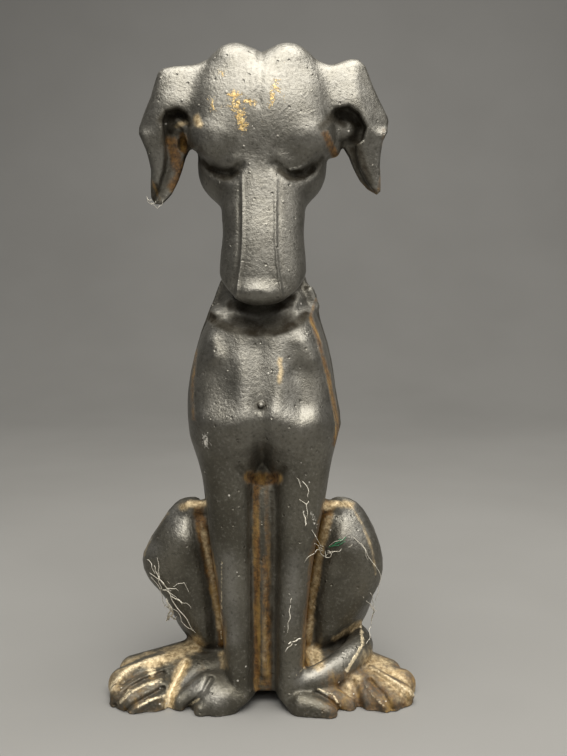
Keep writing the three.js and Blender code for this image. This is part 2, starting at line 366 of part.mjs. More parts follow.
// ---- surface of the field, by marching tetrahedra ----
function skin(fn, range, cell) {
  const n = ['x', 'y', 'z'].map(k => Math.round((range[k][1] - range[k][0]) / cell) + 1);
  const o = ['x', 'y', 'z'].map(k => range[k][0]);
  const at = (i, j, k) => (k * n[1] + j) * n[0] + i;
  const V = new Float32Array(n[0] * n[1] * n[2]).fill(1);
  // coarse pass marks where the surface can be, fine pass evaluates there
  const B = 4;
  for (let k = 0; k < n[2]; k += B) for (let j = 0; j < n[1]; j += B) for (let i = 0; i < n[0]; i += B) {
    const c = fn(o[0] + (i + B / 2) * cell, o[1] + (j + B / 2) * cell, o[2] + (k + B / 2) * cell);
    const near = Math.abs(c) < B * cell * 1.5 + 10;
    for (let kk = k; kk < Math.min(n[2], k + B); kk++) for (let jj = j; jj < Math.min(n[1], j + B); jj++)
      for (let ii = i; ii < Math.min(n[0], i + B); ii++)
        V[at(ii, jj, kk)] = near ? fn(o[0] + ii * cell, o[1] + jj * cell, o[2] + kk * cell) : Math.sign(c);
  }
  // six tetrahedra to a cell; each crossing lies on one grid edge or diagonal
  const pos = [], tri = [], key = new Map();
  const off = m => at(m & 1, m >> 1 & 1, m >> 2);
  const paths = [[1, 2, 1], [1, 4, -1], [2, 1, -1], [2, 4, 1], [4, 1, 1], [4, 2, -1]]
    .map(([a, b, parity]) => ({ m: [0, a, a | b, 7], parity }));
  const crossing = (p, m, q, r) => {           // corner masks q < r along one path
    const id = (p + off(q)) * 8 + (r ^ q);
    if (!key.has(id)) {
      const va = V[p + off(q)], vb = V[p + off(r)], t = clamp(va / (va - vb), 0.04, 0.96);
      const c = [p % n[0], Math.floor(p / n[0]) % n[1], Math.floor(p / (n[0] * n[1]))];
      key.set(id, pos.length / 3);
      for (let k = 0; k < 3; k++) {
        const q0 = q >> k & 1, r0 = r >> k & 1;
        pos.push(o[k] + (c[k] + q0 + t * (r0 - q0)) * cell);
      }
    }
    return key.get(id);
  };
  for (let k = 0; k < n[2] - 1; k++) for (let j = 0; j < n[1] - 1; j++) for (let i = 0; i < n[0] - 1; i++) {
    const p = at(i, j, k);
    let inside = 0;
    for (let m = 0; m < 8; m++) inside += V[p + off(m)] < 0;
    if (inside === 0 || inside === 8) continue;
    for (const { m, parity } of paths) {
      const ins = [0, 1, 2, 3].filter(a => V[p + off(m[a])] < 0), outs = [0, 1, 2, 3].filter(a => !ins.includes(a));
      if (!ins.length || !outs.length) continue;
      const order = [...ins, ...outs];
      let sign = parity;
      for (let a = 0; a < 4; a++) for (let b = a + 1; b < 4; b++) if (order[a] > order[b]) sign = -sign;
      const X = (a, b) => crossing(p, m, m[Math.min(order[a], order[b])], m[Math.max(order[a], order[b])]);
      const f = ins.length === 1 ? [X(0, 1), X(0, 2), X(0, 3)]
        : ins.length === 3 ? [X(0, 3), X(1, 3), X(2, 3)] : [X(0, 2), X(0, 3), X(1, 3), X(1, 2)];
      if (sign < 0) f.reverse();
      tri.push(f[0], f[1], f[2]);
      if (f.length === 4) tri.push(f[0], f[2], f[3]);
    }
  }
  return { pos, tri };
}

// ---- edge-collapse thinning with quadric errors; the surface stays closed ----
function thin({ pos, tri }, target) {
  const nv = pos.length / 3, P = Float64Array.from(pos);
  const F = Int32Array.from(tri), nf = F.length / 3, alive = new Uint8Array(nf).fill(1);
  const Q = new Float64Array(nv * 10), rings = Array.from({ length: nv }, () => new Set());
  const normal = (a, b, c) => {
    const ux = P[b * 3] - P[a * 3], uy = P[b * 3 + 1] - P[a * 3 + 1], uz = P[b * 3 + 2] - P[a * 3 + 2];
    const vx = P[c * 3] - P[a * 3], vy = P[c * 3 + 1] - P[a * 3 + 1], vz = P[c * 3 + 2] - P[a * 3 + 2];
    return [uy * vz - uz * vy, uz * vx - ux * vz, ux * vy - uy * vx];
  };
  for (let f = 0; f < nf; f++) {
    const [a, b, c] = [F[f * 3], F[f * 3 + 1], F[f * 3 + 2]], nn = normal(a, b, c), L = Math.hypot(...nn) + 1e-12;
    const [x, y, z] = nn.map(v => v / L), d = -(x * P[a * 3] + y * P[a * 3 + 1] + z * P[a * 3 + 2]), w = L / 2;
    const q = [x * x, x * y, x * z, x * d, y * y, y * z, y * d, z * z, z * d, d * d];
    for (const v of [a, b, c]) { rings[v].add(f); for (let i = 0; i < 10; i++) Q[v * 10 + i] += q[i] * w; }
  }
  const cost = (a, b, x, y, z) => {
    let e = 0;
    const m = [x * x, 2 * x * y, 2 * x * z, 2 * x, y * y, 2 * y * z, 2 * y, z * z, 2 * z, 1];
    for (let i = 0; i < 10; i++) e += (Q[a * 10 + i] + Q[b * 10 + i]) * m[i];
    return e;
  };
  const best = (a, b) => {
    const q = i => Q[a * 10 + i] + Q[b * 10 + i];
    const A = [q(0), q(1), q(2), q(4), q(5), q(7)], r = [-q(3), -q(6), -q(8)];
    const det = A[0] * (A[3] * A[5] - A[4] * A[4]) - A[1] * (A[1] * A[5] - A[4] * A[2]) + A[2] * (A[1] * A[4] - A[3] * A[2]);
    const mx = (P[a * 3] + P[b * 3]) / 2, my = (P[a * 3 + 1] + P[b * 3 + 1]) / 2, mz = (P[a * 3 + 2] + P[b * 3 + 2]) / 2;
    const len = Math.hypot(P[a * 3] - P[b * 3], P[a * 3 + 1] - P[b * 3 + 1], P[a * 3 + 2] - P[b * 3 + 2]);
    let p = [mx, my, mz], e = cost(a, b, mx, my, mz);
    if (Math.abs(det) > 1e-6) {
      const x = (r[0] * (A[3] * A[5] - A[4] * A[4]) - A[1] * (r[1] * A[5] - A[4] * r[2]) + A[2] * (r[1] * A[4] - A[3] * r[2])) / det;
      const y = (A[0] * (r[1] * A[5] - r[2] * A[4]) - r[0] * (A[1] * A[5] - A[4] * A[2]) + A[2] * (A[1] * r[2] - r[1] * A[2])) / det;
      const z = (A[0] * (A[3] * r[2] - A[4] * r[1]) - A[1] * (A[1] * r[2] - r[1] * A[2]) + r[0] * (A[1] * A[4] - A[3] * A[2])) / det;
      if (Math.hypot(x - mx, y - my, z - mz) < len) { const c = cost(a, b, x, y, z); if (c < e) { e = c; p = [x, y, z]; } }
    }
    return [e + 1e-4 * len * len, p];
  };
  // binary heap of edges
  const heap = [], stamp = new Int32Array(nv);
  const up = i => { while (i) { const j = (i - 1) >> 1; if (heap[j][0] <= heap[i][0]) break; [heap[i], heap[j]] = [heap[j], heap[i]]; i = j; } };
  const down = i => {
    for (;;) {
      let c = 2 * i + 1;
      if (c >= heap.length) break;
      if (c + 1 < heap.length && heap[c + 1][0] < heap[c][0]) c++;
      if (heap[i][0] <= heap[c][0]) break;
      [heap[i], heap[c]] = [heap[c], heap[i]]; i = c;
    }
  };
  const push = (a, b) => { const [e, p] = best(a, b); heap.push([e, a, b, stamp[a], stamp[b], p]); up(heap.length - 1); };
  const pop = () => { const t = heap[0], l = heap.pop(); if (heap.length) { heap[0] = l; down(0); } return t; };
  const around = v => { const s = new Set(); for (const f of rings[v]) for (let i = 0; i < 3; i++) s.add(F[f * 3 + i]); s.delete(v); return s; };
  for (let v = 0; v < nv; v++) for (const u of around(v)) if (u > v) push(v, u);
  let left = nf;
  while (left > target && heap.length) {
    const [, a, b, sa, sb, p] = pop();
    if (stamp[a] !== sa || stamp[b] !== sb) continue;
    const A = around(a), Bn = around(b);
    let common = 0;
    for (const v of A) if (Bn.has(v)) common++;
    if (common !== 2 || A.size + Bn.size - 4 < 4) continue;
    let ok = true;
    for (const v of [a, b]) for (const f of rings[v]) {
      const t = [F[f * 3], F[f * 3 + 1], F[f * 3 + 2]];
      if (t.includes(a) && t.includes(b)) continue;
      const n0 = normal(...t), old = [P[v * 3], P[v * 3 + 1], P[v * 3 + 2]];
      P[v * 3] = p[0]; P[v * 3 + 1] = p[1]; P[v * 3 + 2] = p[2];
      const n1 = normal(...t);
      P[v * 3] = old[0]; P[v * 3 + 1] = old[1]; P[v * 3 + 2] = old[2];
      const l0 = Math.hypot(...n0), l1 = Math.hypot(...n1);
      if (l1 < 0.05 || n0[0] * n1[0] + n0[1] * n1[1] + n0[2] * n1[2] < 0.25 * l0 * l1) { ok = false; break; }
    }
    if (!ok) continue;
    for (const f of [...rings[b]]) {
      const t = [F[f * 3], F[f * 3 + 1], F[f * 3 + 2]];
      if (t.includes(a)) { alive[f] = 0; left--; for (const v of t) rings[v].delete(f); continue; }
      for (let i = 0; i < 3; i++) if (t[i] === b) F[f * 3 + i] = a;
      rings[a].add(f); rings[b].delete(f);
    }
    P[a * 3] = p[0]; P[a * 3 + 1] = p[1]; P[a * 3 + 2] = p[2];
    for (let i = 0; i < 10; i++) Q[a * 10 + i] += Q[b * 10 + i];
    stamp[a]++; stamp[b] = -1;
    for (const u of around(a)) push(a, u);
  }
  const map = new Map(), outP = [], outT = [];
  for (let f = 0; f < nf; f++) if (alive[f]) for (let i = 0; i < 3; i++) {
    const v = F[f * 3 + i];
    if (!map.has(v)) { map.set(v, outP.length / 3); outP.push(P[v * 3], P[v * 3 + 1], P[v * 3 + 2]); }
    outT.push(map.get(v));
  }
  return { pos: outP, tri: outT };
}

// ---- solids ----
const wasm = await Module();
wasm.setup();
const solid = (positions, triangles) => new wasm.Manifold(new wasm.Mesh({
  numProp: 3, vertProperties: Float32Array.from(positions), triVerts: Uint32Array.from(triangles) }));
// three geometry to solid, corners joined by position
function fromGeometry(g) {
  const p = g.attributes.position, idx = g.index ? Array.from(g.index.array) : [...Array(p.count).keys()];
  const seen = new Map(), pos = [], map = [];
  for (let i = 0; i < p.count; i++) {
    const key = [p.getX(i), p.getY(i), p.getZ(i)].map(v => Math.round(v * 1e4)).join();
    if (!seen.has(key)) { seen.set(key, pos.length / 3); pos.push(p.getX(i), p.getY(i), p.getZ(i)); }
    map.push(seen.get(key));
  }
  const tri = [];
  for (let i = 0; i < idx.length; i += 3) {
    const t = [map[idx[i]], map[idx[i + 1]], map[idx[i + 2]]];
    if (new Set(t).size === 3) tri.push(...t);
  }
  return solid(pos, tri);
}

const coarse = skin(dog, RANGE, CELL);
const body = thin(coarse, TRIANGLES);
let iron = solid(body.pos, body.tri);
// flat foot at z = 0
const above = new THREE.BoxGeometry(400, 400, 500).translate(0, 0, 250);
iron = iron.intersect(fromGeometry(above));
// a pocket closed off inside the metal is solid iron
iron = iron.decompose().reduce((a, b) => (b.volume() > a.volume() ? b : a));
// arch between the forepaws
const archLine = new THREE.Shape();
const half = Math.acos(-ARCH_Z / ARCH_R);
archLine.moveTo(-ARCH_R * Math.sin(half) - 0.4, -6);
for (let i = 0; i <= 12; i++) {
  const a = -half + 2 * half * i / 12;
  archLine.lineTo(ARCH_R * Math.sin(a), ARCH_Z + ARCH_R * Math.cos(a));
}
archLine.lineTo(ARCH_R * Math.sin(half) + 0.4, -6);
archLine.closePath();
const arch = new THREE.ExtrudeGeometry(archLine, { depth: 60, bevelEnabled: false });
arch.rotateX(Math.PI / 2).translate(ARCH_X, ARCH_BACK, 0);
iron = iron.subtract(fromGeometry(arch));

const out = iron.getMesh();
const vp = Float32Array.from(out.vertProperties);
// stand it on the origin, box centred
const lo = [Infinity, Infinity, Infinity], hi = [-Infinity, -Infinity, -Infinity];
for (let i = 0; i < vp.length; i++) { lo[i % 3] = Math.min(lo[i % 3], vp[i]); hi[i % 3] = Math.max(hi[i % 3], vp[i]); }
for (let i = 0; i < vp.length; i += 3) {
  vp[i] = (vp[i] - (lo[0] + hi[0]) / 2) * K;
  vp[i + 1] = (vp[i + 1] - (lo[1] + hi[1]) / 2) * K;
  vp[i + 2] = (vp[i + 2] - lo[2]) * K * 400 / (hi[2] - lo[2]);
}
const geometry = new THREE.BufferGeometry();
geometry.setAttribute('position', new THREE.BufferAttribute(vp, 3));
geometry.setIndex(Array.from(out.triVerts));
geometry.computeVertexNormals();

const blackIron = new THREE.MeshStandardMaterial({ name: 'black_painted_iron', color: 0x1c1c1e, roughness: 0.45, metalness: 0.2 });
const statue = new THREE.Mesh(geometry, blackIron);
statue.name = 'dog_statue';
const root = new THREE.Group();
root.name = 'cast_iron_dog_statue';
root.add(statue);
export default root;
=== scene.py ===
"""Looks for a cast iron statue of a seated hound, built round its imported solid."""

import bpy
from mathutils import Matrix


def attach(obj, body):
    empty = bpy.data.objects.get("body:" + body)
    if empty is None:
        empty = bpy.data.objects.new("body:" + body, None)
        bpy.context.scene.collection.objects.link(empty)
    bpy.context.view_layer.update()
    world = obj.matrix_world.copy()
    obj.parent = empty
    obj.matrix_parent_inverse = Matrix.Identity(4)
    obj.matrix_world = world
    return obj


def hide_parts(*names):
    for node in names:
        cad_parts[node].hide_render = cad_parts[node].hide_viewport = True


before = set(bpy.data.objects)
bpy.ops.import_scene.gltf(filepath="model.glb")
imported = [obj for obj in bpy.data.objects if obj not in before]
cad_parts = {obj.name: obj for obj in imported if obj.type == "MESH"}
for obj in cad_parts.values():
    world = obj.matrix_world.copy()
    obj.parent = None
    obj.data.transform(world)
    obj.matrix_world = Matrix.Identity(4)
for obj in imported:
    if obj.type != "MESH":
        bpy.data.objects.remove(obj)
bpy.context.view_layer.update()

import math

import bpy
import numpy as np
from mathutils import Vector

CELL = 1.0        # mm between samples of the form
MOST = 194000  # triangles kept


f32 = np.float32


def smin(a, b, k):
    h = np.clip(0.5 + 0.5 * (b - a) / k, 0, 1)
    return b + (a - b) * h - k * h * (1 - h)


def smax(a, b, k):
    return -smin(-a, -b, k)


def step(e0, e1, v):
    t = np.clip((v - e0) / (e1 - e0), 0, 1)
    return t * t * (3 - 2 * t)


def rounded(pts, k):
    """Catmull-Rom curve through the stations, k steps to each span."""
    out = []
    for i in range(len(pts) - 1):
        a, b, c, e = pts[max(i - 1, 0)], pts[i], pts[i + 1], pts[min(i + 2, len(pts) - 1)]
        for j in range(k):
            t = j / k
            out.append([0.5 * (2 * b[n] + (c[n] - a[n]) * t + (2 * a[n] - 5 * b[n] + 4 * c[n] - e[n]) * t * t
                               + (3 * b[n] - a[n] - 3 * c[n] + e[n]) * t * t * t) for n in range(len(b))])
    out.append(list(pts[-1]))
    return out


def loop(pts, k):
    """Closed Catmull-Rom outline through the points, k steps to each span."""
    n, out = len(pts), []
    for i in range(n):
        a, b, c, e = pts[i - 1], pts[i], pts[(i + 1) % n], pts[(i + 2) % n]
        for j in range(k):
            t = j / k
            out.append([0.5 * (2 * b[m] + (c[m] - a[m]) * t + (2 * a[m] - 5 * b[m] + 4 * c[m] - e[m]) * t * t
                               + (3 * b[m] - a[m] - 3 * c[m] + e[m]) * t * t * t) for m in (0, 1)])
    return out


class Field:
    """Distance helpers at a set of points, in millimetres."""

    def __init__(s, x, y, z):
        s.x, s.y, s.z = x, y, z

    def ell(s, c, r, yaw=0, roll=0):
        x, y, z = s.x - f32(c[0]), s.y - f32(c[1]), s.z - f32(c[2])
        if yaw:
            ca, sa = f32(math.cos(math.radians(yaw))), f32(math.sin(math.radians(yaw)))
            x, y = ca * x + sa * y, -sa * x + ca * y
        if roll:
            ca, sa = f32(math.cos(math.radians(roll))), f32(math.sin(math.radians(roll)))
            x, z = ca * x + sa * z, -sa * x + ca * z
        a, b, d = x / f32(r[0]), y / f32(r[1]), z / f32(r[2])
        k0 = np.sqrt(a * a + b * b + d * d)
        a, b, d = a / f32(r[0]), b / f32(r[1]), d / f32(r[2])
        k1 = np.sqrt(a * a + b * b + d * d) + f32(1e-6)
        return k0 * (k0 - 1) / k1

    def sell(s, c, r, n):
        a = np.abs(s.x - f32(c[0])) / f32(r[0])
        b = np.abs(s.y - f32(c[1])) / f32(r[1])
        d = np.abs(s.z - f32(c[2])) / f32(r[2])
        k0 = (a**n + b**n + d**n + f32(1e-9)) ** f32(1 / n)
        g = np.sqrt((a / f32(r[0])) ** 2 + (b / f32(r[1])) ** 2 + (d / f32(r[2])) ** 2) + f32(1e-6)
        return k0 * (k0 - 1) / g

    def cap(s, a, b, ra, rb, sy=1.0, sz=1.0):
        """Tapered capsule from a to b, stretched sy along Y and sz along Z."""
        x, y, z = s.x - f32(a[0]), (s.y - f32(a[1])) / f32(sy), (s.z - f32(a[2])) / f32(sz)
        bx, by, bz = b[0] - a[0], (b[1] - a[1]) / sy, (b[2] - a[2]) / sz
        l2 = bx * bx + by * by + bz * bz
        h = np.clip((x * f32(bx) + y * f32(by) + z * f32(bz)) / f32(l2), 0, 1)
        d = np.sqrt((x - h * f32(bx)) ** 2 + (y - h * f32(by)) ** 2 + (z - h * f32(bz)) ** 2)
        return (d - (f32(ra) + h * f32(rb - ra))) * f32(min(1.0, sy, sz))

    def path(s, pts, k=3, sy=1.0, sz=1.0):
        """Bar through (x, y, z, radius) stations, k steps to each span."""
        d = None
        fine = rounded(pts, k)
        for p, q in zip(fine, fine[1:]):
            e = s.cap(p[:3], q[:3], p[3], q[3], sy, sz)
            d = e if d is None else np.minimum(d, e)
        return d

    def poly(s, pts):
        """Signed distance to a polygon in the XZ plane."""
        x, z = s.x, s.z
        d = np.full(x.shape, 1e9, f32)
        sg = np.ones(x.shape, f32)
        n = len(pts)
        for i in range(n):
            (ax, az), (bx, bz) = pts[i], pts[i - 1]
            ex, ez = bx - ax, bz - az
            wx, wz = x - f32(ax), z - f32(az)
            h = np.clip((wx * f32(ex) + wz * f32(ez)) / f32(ex * ex + ez * ez), 0, 1)
            d = np.minimum(d, (wx - f32(ex) * h) ** 2 + (wz - f32(ez) * h) ** 2)
            c1, c2, c3 = z >= f32(az), z < f32(bz), f32(ex) * wz > f32(ez) * wx
            flip = (c1 & c2 & c3) | (~c1 & ~c2 & ~c3)
            sg = np.where(flip, -sg, sg)
        return sg * np.sqrt(d)

    def plate(s, pts, yc, t, r):
        """A rounded plate: polygon pts in XZ, centred on yc, half thickness t."""
        a = s.poly(pts) + f32(r)
        b = np.abs(s.y - yc) - t + f32(r)
        return np.sqrt(np.maximum(a, 0) ** 2 + np.maximum(b, 0) ** 2) + np.minimum(np.maximum(a, b), 0) - f32(r)


H = 400.0          # height of the casting
EYE = (13.0, -652.0, 290.0)    # relief marks are cast back from this point
SHEET = -40.0                  # plane on which they are laid out


def tab(v, knots):
    """Monotone cubic through (position, value) knots."""
    xs = np.array([k[0] for k in knots], f32)
    ys = np.array([k[1] for k in knots], f32)
    h = np.diff(xs)
    s = np.diff(ys) / h
    m = np.zeros(len(xs), f32)
    for i in range(1, len(xs) - 1):
        if s[i - 1] * s[i] > 0:
            m[i] = 2 * s[i - 1] * s[i] / (s[i - 1] + s[i])
    m[0], m[-1] = s[0], s[-1]
    i = np.clip(np.searchsorted(xs, v) - 1, 0, len(xs) - 2)
    t = np.clip((v - xs[i]) / h[i], 0, 1)
    t2, t3 = t * t, t * t * t
    return ((2 * t3 - 3 * t2 + 1) * ys[i] + (t3 - 2 * t2 + t) * h[i] * m[i]
            + (3 * t2 - 2 * t3) * ys[i + 1] + (t3 - t2) * h[i] * m[i + 1])


def column(F, rows, n, z=None, scale=0.9):
    """Stack of superellipse sections; rows are z, centre x, half width, front y, back y."""
    z = F.z if z is None else z
    xc, w, yf, yb = [tab(z, [(r[0], r[i]) for r in rows]) for i in (1, 2, 3, 4)]
    yc, dp = (yf + yb) / 2, (yb - yf) / 2
    a, b = np.abs(F.x - xc) / w, np.abs(F.y - yc) / dp
    q = (a**n + b**n + f32(1e-9)) ** f32(1 / n)
    g = np.sqrt((a / w) ** 2 + (b / dp) ** 2) / np.maximum(q, 1e-3) + f32(1e-4)
    return np.where(q > 0.35, (q - 1) * q / (g * q + f32(1e-6)) * scale, (q - 1) * np.minimum(w, dp) * scale)


def dog(x, y, z):
    z = z * f32(0.9978)
    F = Field(x, y, z)
    front = step(6, -8, y)
    kk = f32(SHEET - EYE[1]) / np.maximum(y - f32(EYE[1]), 100)
    F.u, F.v = f32(EYE[0]) + (x - f32(EYE[0])) * kk, f32(EYE[2]) + (z - f32(EYE[2])) * kk
    zlo, zhi = float(z.min()), float(z.max())
    d = np.full(x.shape, 200.0, f32)

    def mark(pts, w):
        """Gaussian weight about a polyline on the relief sheet."""
        best = np.full(x.shape, 1e9, f32)
        for (ax, az), (bx, bz) in zip(pts, pts[1:]):
            ex, ez = bx - ax, bz - az
            wx, wz = F.u - f32(ax), F.v - f32(az)
            h = np.clip((wx * f32(ex) + wz * f32(ez)) / f32(ex * ex + ez * ez), 0, 1)
            best = np.minimum(best, (wx - h * f32(ex)) ** 2 + (wz - h * f32(ez)) ** 2)
        return np.exp(-best / f32(w * w))

    if zhi > 222:
        # ---- head ----
        g = F.ell((0, 1, 352), (41, 33, 42))
        g = smin(g, F.ell((0, -3, 369), (18, 20, 24.5)), 8)
        for s in (-1, 1):
            g = smin(g, F.cap((s * 15.6, -3, 383.6), (s * 24.6, -12.5, 344.5), 16.6, 18.6), 6.0)
            g = smin(g, F.ell((s * 27, 3, 362), (17.5, 24, 28)), 8)
            g = smin(g, F.ell((s * 15.5, 1, 326), (23.5, 24, 23)), 6)
        # muzzle
        mz = column(F, [(243, 0.6, 25.0, -38.0, 0), (249, 0.6, 25.8, -43.4, 1), (255, 0.7, 26.2, -46.0, 2), (262, 0.8, 26.0, -46.8, 3), (272, 0.8, 25.5, -45.4, 4), (288, 1.0, 24.2, -42.0, 6),
                        (303, 1.0, 25.0, -37.6, 8), (318, 0.4, 25.0, -33.6, 10), (332, -1.0, 21.5, -29.8, 10), (348, -2, 16, -26.6, 10), (362, -2, 10, -22, 10)], 2.35)
        zb = 247.2 + 13.5 * (np.abs(x - 0.5) / 26) ** 2.6 + 0.05 * (y + 45)
        mz = smax(mz, zb - z, 4.5)
        mz = smax(mz, z - 366, 8)
        g = smin(g, mz, 9)
        # nose pad
        g = smin(g, F.ell((-0.6, -41.0, 254.2), (15.5, 8.6, 7.6)), 4.0)
        g = g - 0.5 * mark([(-8.2, 253.9), (-3.0, 255.7), (5.1, 253.4)], 2.2) * front
        # ---- neck ----
        nk = F.path([(1, 3, 352, 20.5), (1, 5, 308, 19.6), (1, 10, 258, 21.8)], 2, sy=1.25)
        g = smin(g, nk, 4)
        # ---- ears ----
        earL = [(-28, 384), (-34, 389), (-41.2, 387.6), (-53, 386.7), (-59.3, 385.5), (-62.4, 383.6), (-64.1, 378.3), (-66.7, 369.3), (-71.1, 359.5),
                (-74.4, 351.2), (-74.3, 347.1), (-72.3, 342.9), (-69.9, 337.1), (-68.3, 331.2), (-67.1, 325.4), (-67.6, 317.8), (-67.8, 309.5),
                (-65.8, 304.0), (-60.2, 303.2), (-54.1, 311.1), (-50.6, 319.5), (-48.3, 326.2), (-46.5, 332.9), (-44, 338), (-38, 342), (-28, 350)]
        earR = [(28, 384), (33.6, 389), (40.7, 387.6), (45.2, 388.6), (53.2, 391.2), (57.7, 391.0), (62.2, 386.8), (66.8, 375.5), (71.4, 365.9),
                (76, 357.1), (76.5, 354.5), (75.3, 347.5), (72.6, 342.2), (71.4, 335.1), (71, 328), (71.6, 319), (71.7, 312.8), (69.4, 310.6),
                (63.9, 313.7), (59.3, 319), (55.6, 326.2), (52.8, 333.3), (49.6, 338.6), (46.5, 339), (38, 340), (28, 350)]
        yf = tab(z, [(303, -10.5), (318, -12), (335, -13.5), (350, -16), (362, -16.5), (375, -13), (386, -8.5), (393, -5)])
        yb = tab(z, [(303, -4), (320, 1), (340, 6), (356, 11), (372, 12), (393, 9)])
        for s, pts in ((-1, earL), (1, earR)):
            e = F.plate(pts, (yf + yb) / 2, (yb - yf) / 2, 4.6)
            # outer flank falls back from the fold
            if s < 0:
                xr = tab(z, [(303, -61), (330, -63), (348, -62), (365, -58), (384, -57)])
                sl = tab(z, [(303, 0.35), (344, 0.35), (352, 0.75), (392, 0.62)])
                e = smax(e, ((xr - x) * sl - (y - yf)) * 0.82, 5)
                hol = F.poly([(-58.9, 354), (-56.5, 359), (-50, 361), (-44, 358.5), (-40.5, 352), (-39, 340), (-40, 322), (-50, 300), (-60, 297), (-65.0, 307),
                              (-62.5, 314.5), (-59.0, 324.6), (-57.6, 333), (-58.2, 343)])
                floor = tab(z, [(303, -6.2), (318, -5.0), (335, -4.5), (350, -5), (362, -6)])
                e = smax(e, -smax(hol, y - floor, 3), 2.2)
                e = smin(e, F.ell((-51, -5.2, 352.5), (6.6, 4.0, 5.0)), 3.5)
                e = smin(e, F.path([(-50, -8.5, 354, 2.6), (-45.5, -9.0, 350, 2.1), (-43.6, -8.0, 342, 1.5)], 2), 1.4)
                e = smax(e, -F.ell((-47, -6, 341), (3.6, 7, 4.4)), 1.2)
            else:
                xr = tab(z, [(311, 68), (330, 66), (346, 64), (355, 62.2), (365, 57.7), (378, 56), (391, 57.4)])
                sl = tab(z, [(311, 0.25), (345, 0.3), (353, 0.85), (392, 0.7)])
                e = smax(e, ((x - xr) * sl - (y - yf)) * 0.82, 2.0)
                hol = F.poly([(34, 351), (37.5, 357.5), (43, 361), (51.7, 362.3), (57.6, 358), (62.3, 350), (60.5, 343), (56.6, 340), (56.8, 334), (58.8, 326), (62.5, 319),
                              (68.0, 311.5), (66, 305), (52, 305), (40, 330), (34, 340)])
                floor = tab(z, [(303, -6.5), (320, -4.5), (335, -4), (350, -5), (362, -6)])
                e = smax(e, -smax(hol, y - floor, 3), 1.8)
                e = smin(e, F.sell((48.0, -4.8, 349.4), (8.6, 5.2, 6.2), 2.6), 3.0)
                e = smin(e, F.sell((43, -4.5, 342), (5, 6, 9), 2.4), 2.5)
            g = smin(g, e, 4.5)
        # valley down the forehead, softer hollow between the brows
        g = g + 0.7 * mark([(0.9, 399.5), (0.3, 385.3), (-0.3, 371.0), (-0.9, 361.1)], 2.4) * front
        g = g - 0.45 * mark([(-2.5, 391.8), (-3.1, 369.9)], 2.6) * front
        g = g + 1.1 * mark([(-0.8, 385.3), (-2.0, 363.3), (-3.8, 348.9), (-5.6, 336.6)], 8) * front
        # closed eyes: a crescent sunk under the brow, with the lid showing in it
        for brow, socket, lid in (
                ([(-34.1, 337.7), (-30.1, 333.3), (-25.6, 329.9), (-19.9, 328.2), (-14.7, 329.3)], [(-35.8, 334.4), (-33.0, 329.9), (-29.6, 326.0), (-25.7, 323.1), (-21.1, 321.5), (-17.1, 321.5), (-13.6, 323.7), (-11.9, 326.0)], [(-28.0, 322.9), (-24.0, 321.2), (-19.4, 320.9)]),
                ([(11.6, 331.0), (17.3, 328.8), (23.0, 329.3), (28.1, 332.7)], [(8.1, 327.1), (11.6, 324.0), (15.6, 321.7), (20.2, 320.9), (24.2, 321.7), (28.2, 324.3), (31.6, 327.6), (33.9, 331.0)], [(17.3, 323.7), (22.4, 324.8), (27.0, 327.4)])):
            g = g + 2.2 * mark(socket, 2.8) * front + 2.6 * mark(socket[3:6], 3.6) * front
            g = g - 0.7 * mark(brow, 3.6) * front
            g = g - 1.5 * mark(lid, 1.3) * front
        # bridge of the nose: a low strip with a bead along each edge
        fz = step(330, 298, F.v) * step(249, 253, F.v) * step(-16, -24, y)
        ul = tab(F.v, [(247, -14.9), (250, -14.5), (261.4, -13.0), (271.7, -11.5), (288, -10.6), (300, -10.4), (330, -10.8)])
        ur = tab(F.v, [(247, 12.9), (250, 12.6), (261.4, 10.9), (271.7, 9.6), (288, 8.8), (300, 8.8), (330, 9.6)])
        g = g - 0.25 * step(-1.0, 1.0, F.u - ul) * step(1.0, -1.0, F.u - ur) * fz
        g = g - (0.95 * np.exp(-(((F.u - ul) / 0.9) ** 2)) + 0.85 * np.exp(-(((F.u - ur) / 0.9) ** 2))) * fz
        g = g + (0.3 * np.exp(-(((F.u - ul + 1.9) / 1.2) ** 2)) + 0.25 * np.exp(-(((F.u - ur - 1.9) / 1.2) ** 2))) * fz
        d = smin(d, g, 4)

    # ---- trunk ----
    zc = z - 3.4 * np.cos(x * 0.131) * step(120, 165, z) * step(226, 200, z)
    t = column(F, [(0, 0.5, 38, -12, 66), (30, 0.5, 40, -14, 66), (60, 0.5, 38.5, -16, 64.5), (90, 0.6, 37, -17, 62), (112, 0.8, 37.3, -20, 60), (128, 1.0, 38.2, -24.5, 58.5), (142, 1.2, 40.2, -31.5, 57),
                   (154, 1.2, 42.8, -41.0, 55.5), (164, 1.2, 45.2, -48.6, 54), (175, 0.2, 46.4, -51.4, 53), (188, -0.6, 45.6, -49.6, 52.2), (202, -0.6, 43.6, -46.0, 51), (214, -0.3, 41.0, -42.6, 49),
                   (226, 0.2, 37.6, -38.8, 47), (236, 0.4, 34.0, -34.6, 44.5), (243, 0.5, 31.6, -30.0, 43), (252, 0.8, 28.6, -24.5, 41), (262, 1.2, 25.0, -22, 39), (276, 1.2, 21, -18, 36)], 2.75, zc)
    t = smax(t, z - 270, 10)
    # shoulder blades and a low spine
    for s in (-1, 1):
        t = smin(t, F.ell((s * 23, 32, 214), (14, 21, 34)), 9)
    t = t - 1.6 * np.exp(-((x / 4.5) ** 2)) * step(25, 42, y) * step(256, 236, z) * step(30, 60, z)
    if zhi > 110:
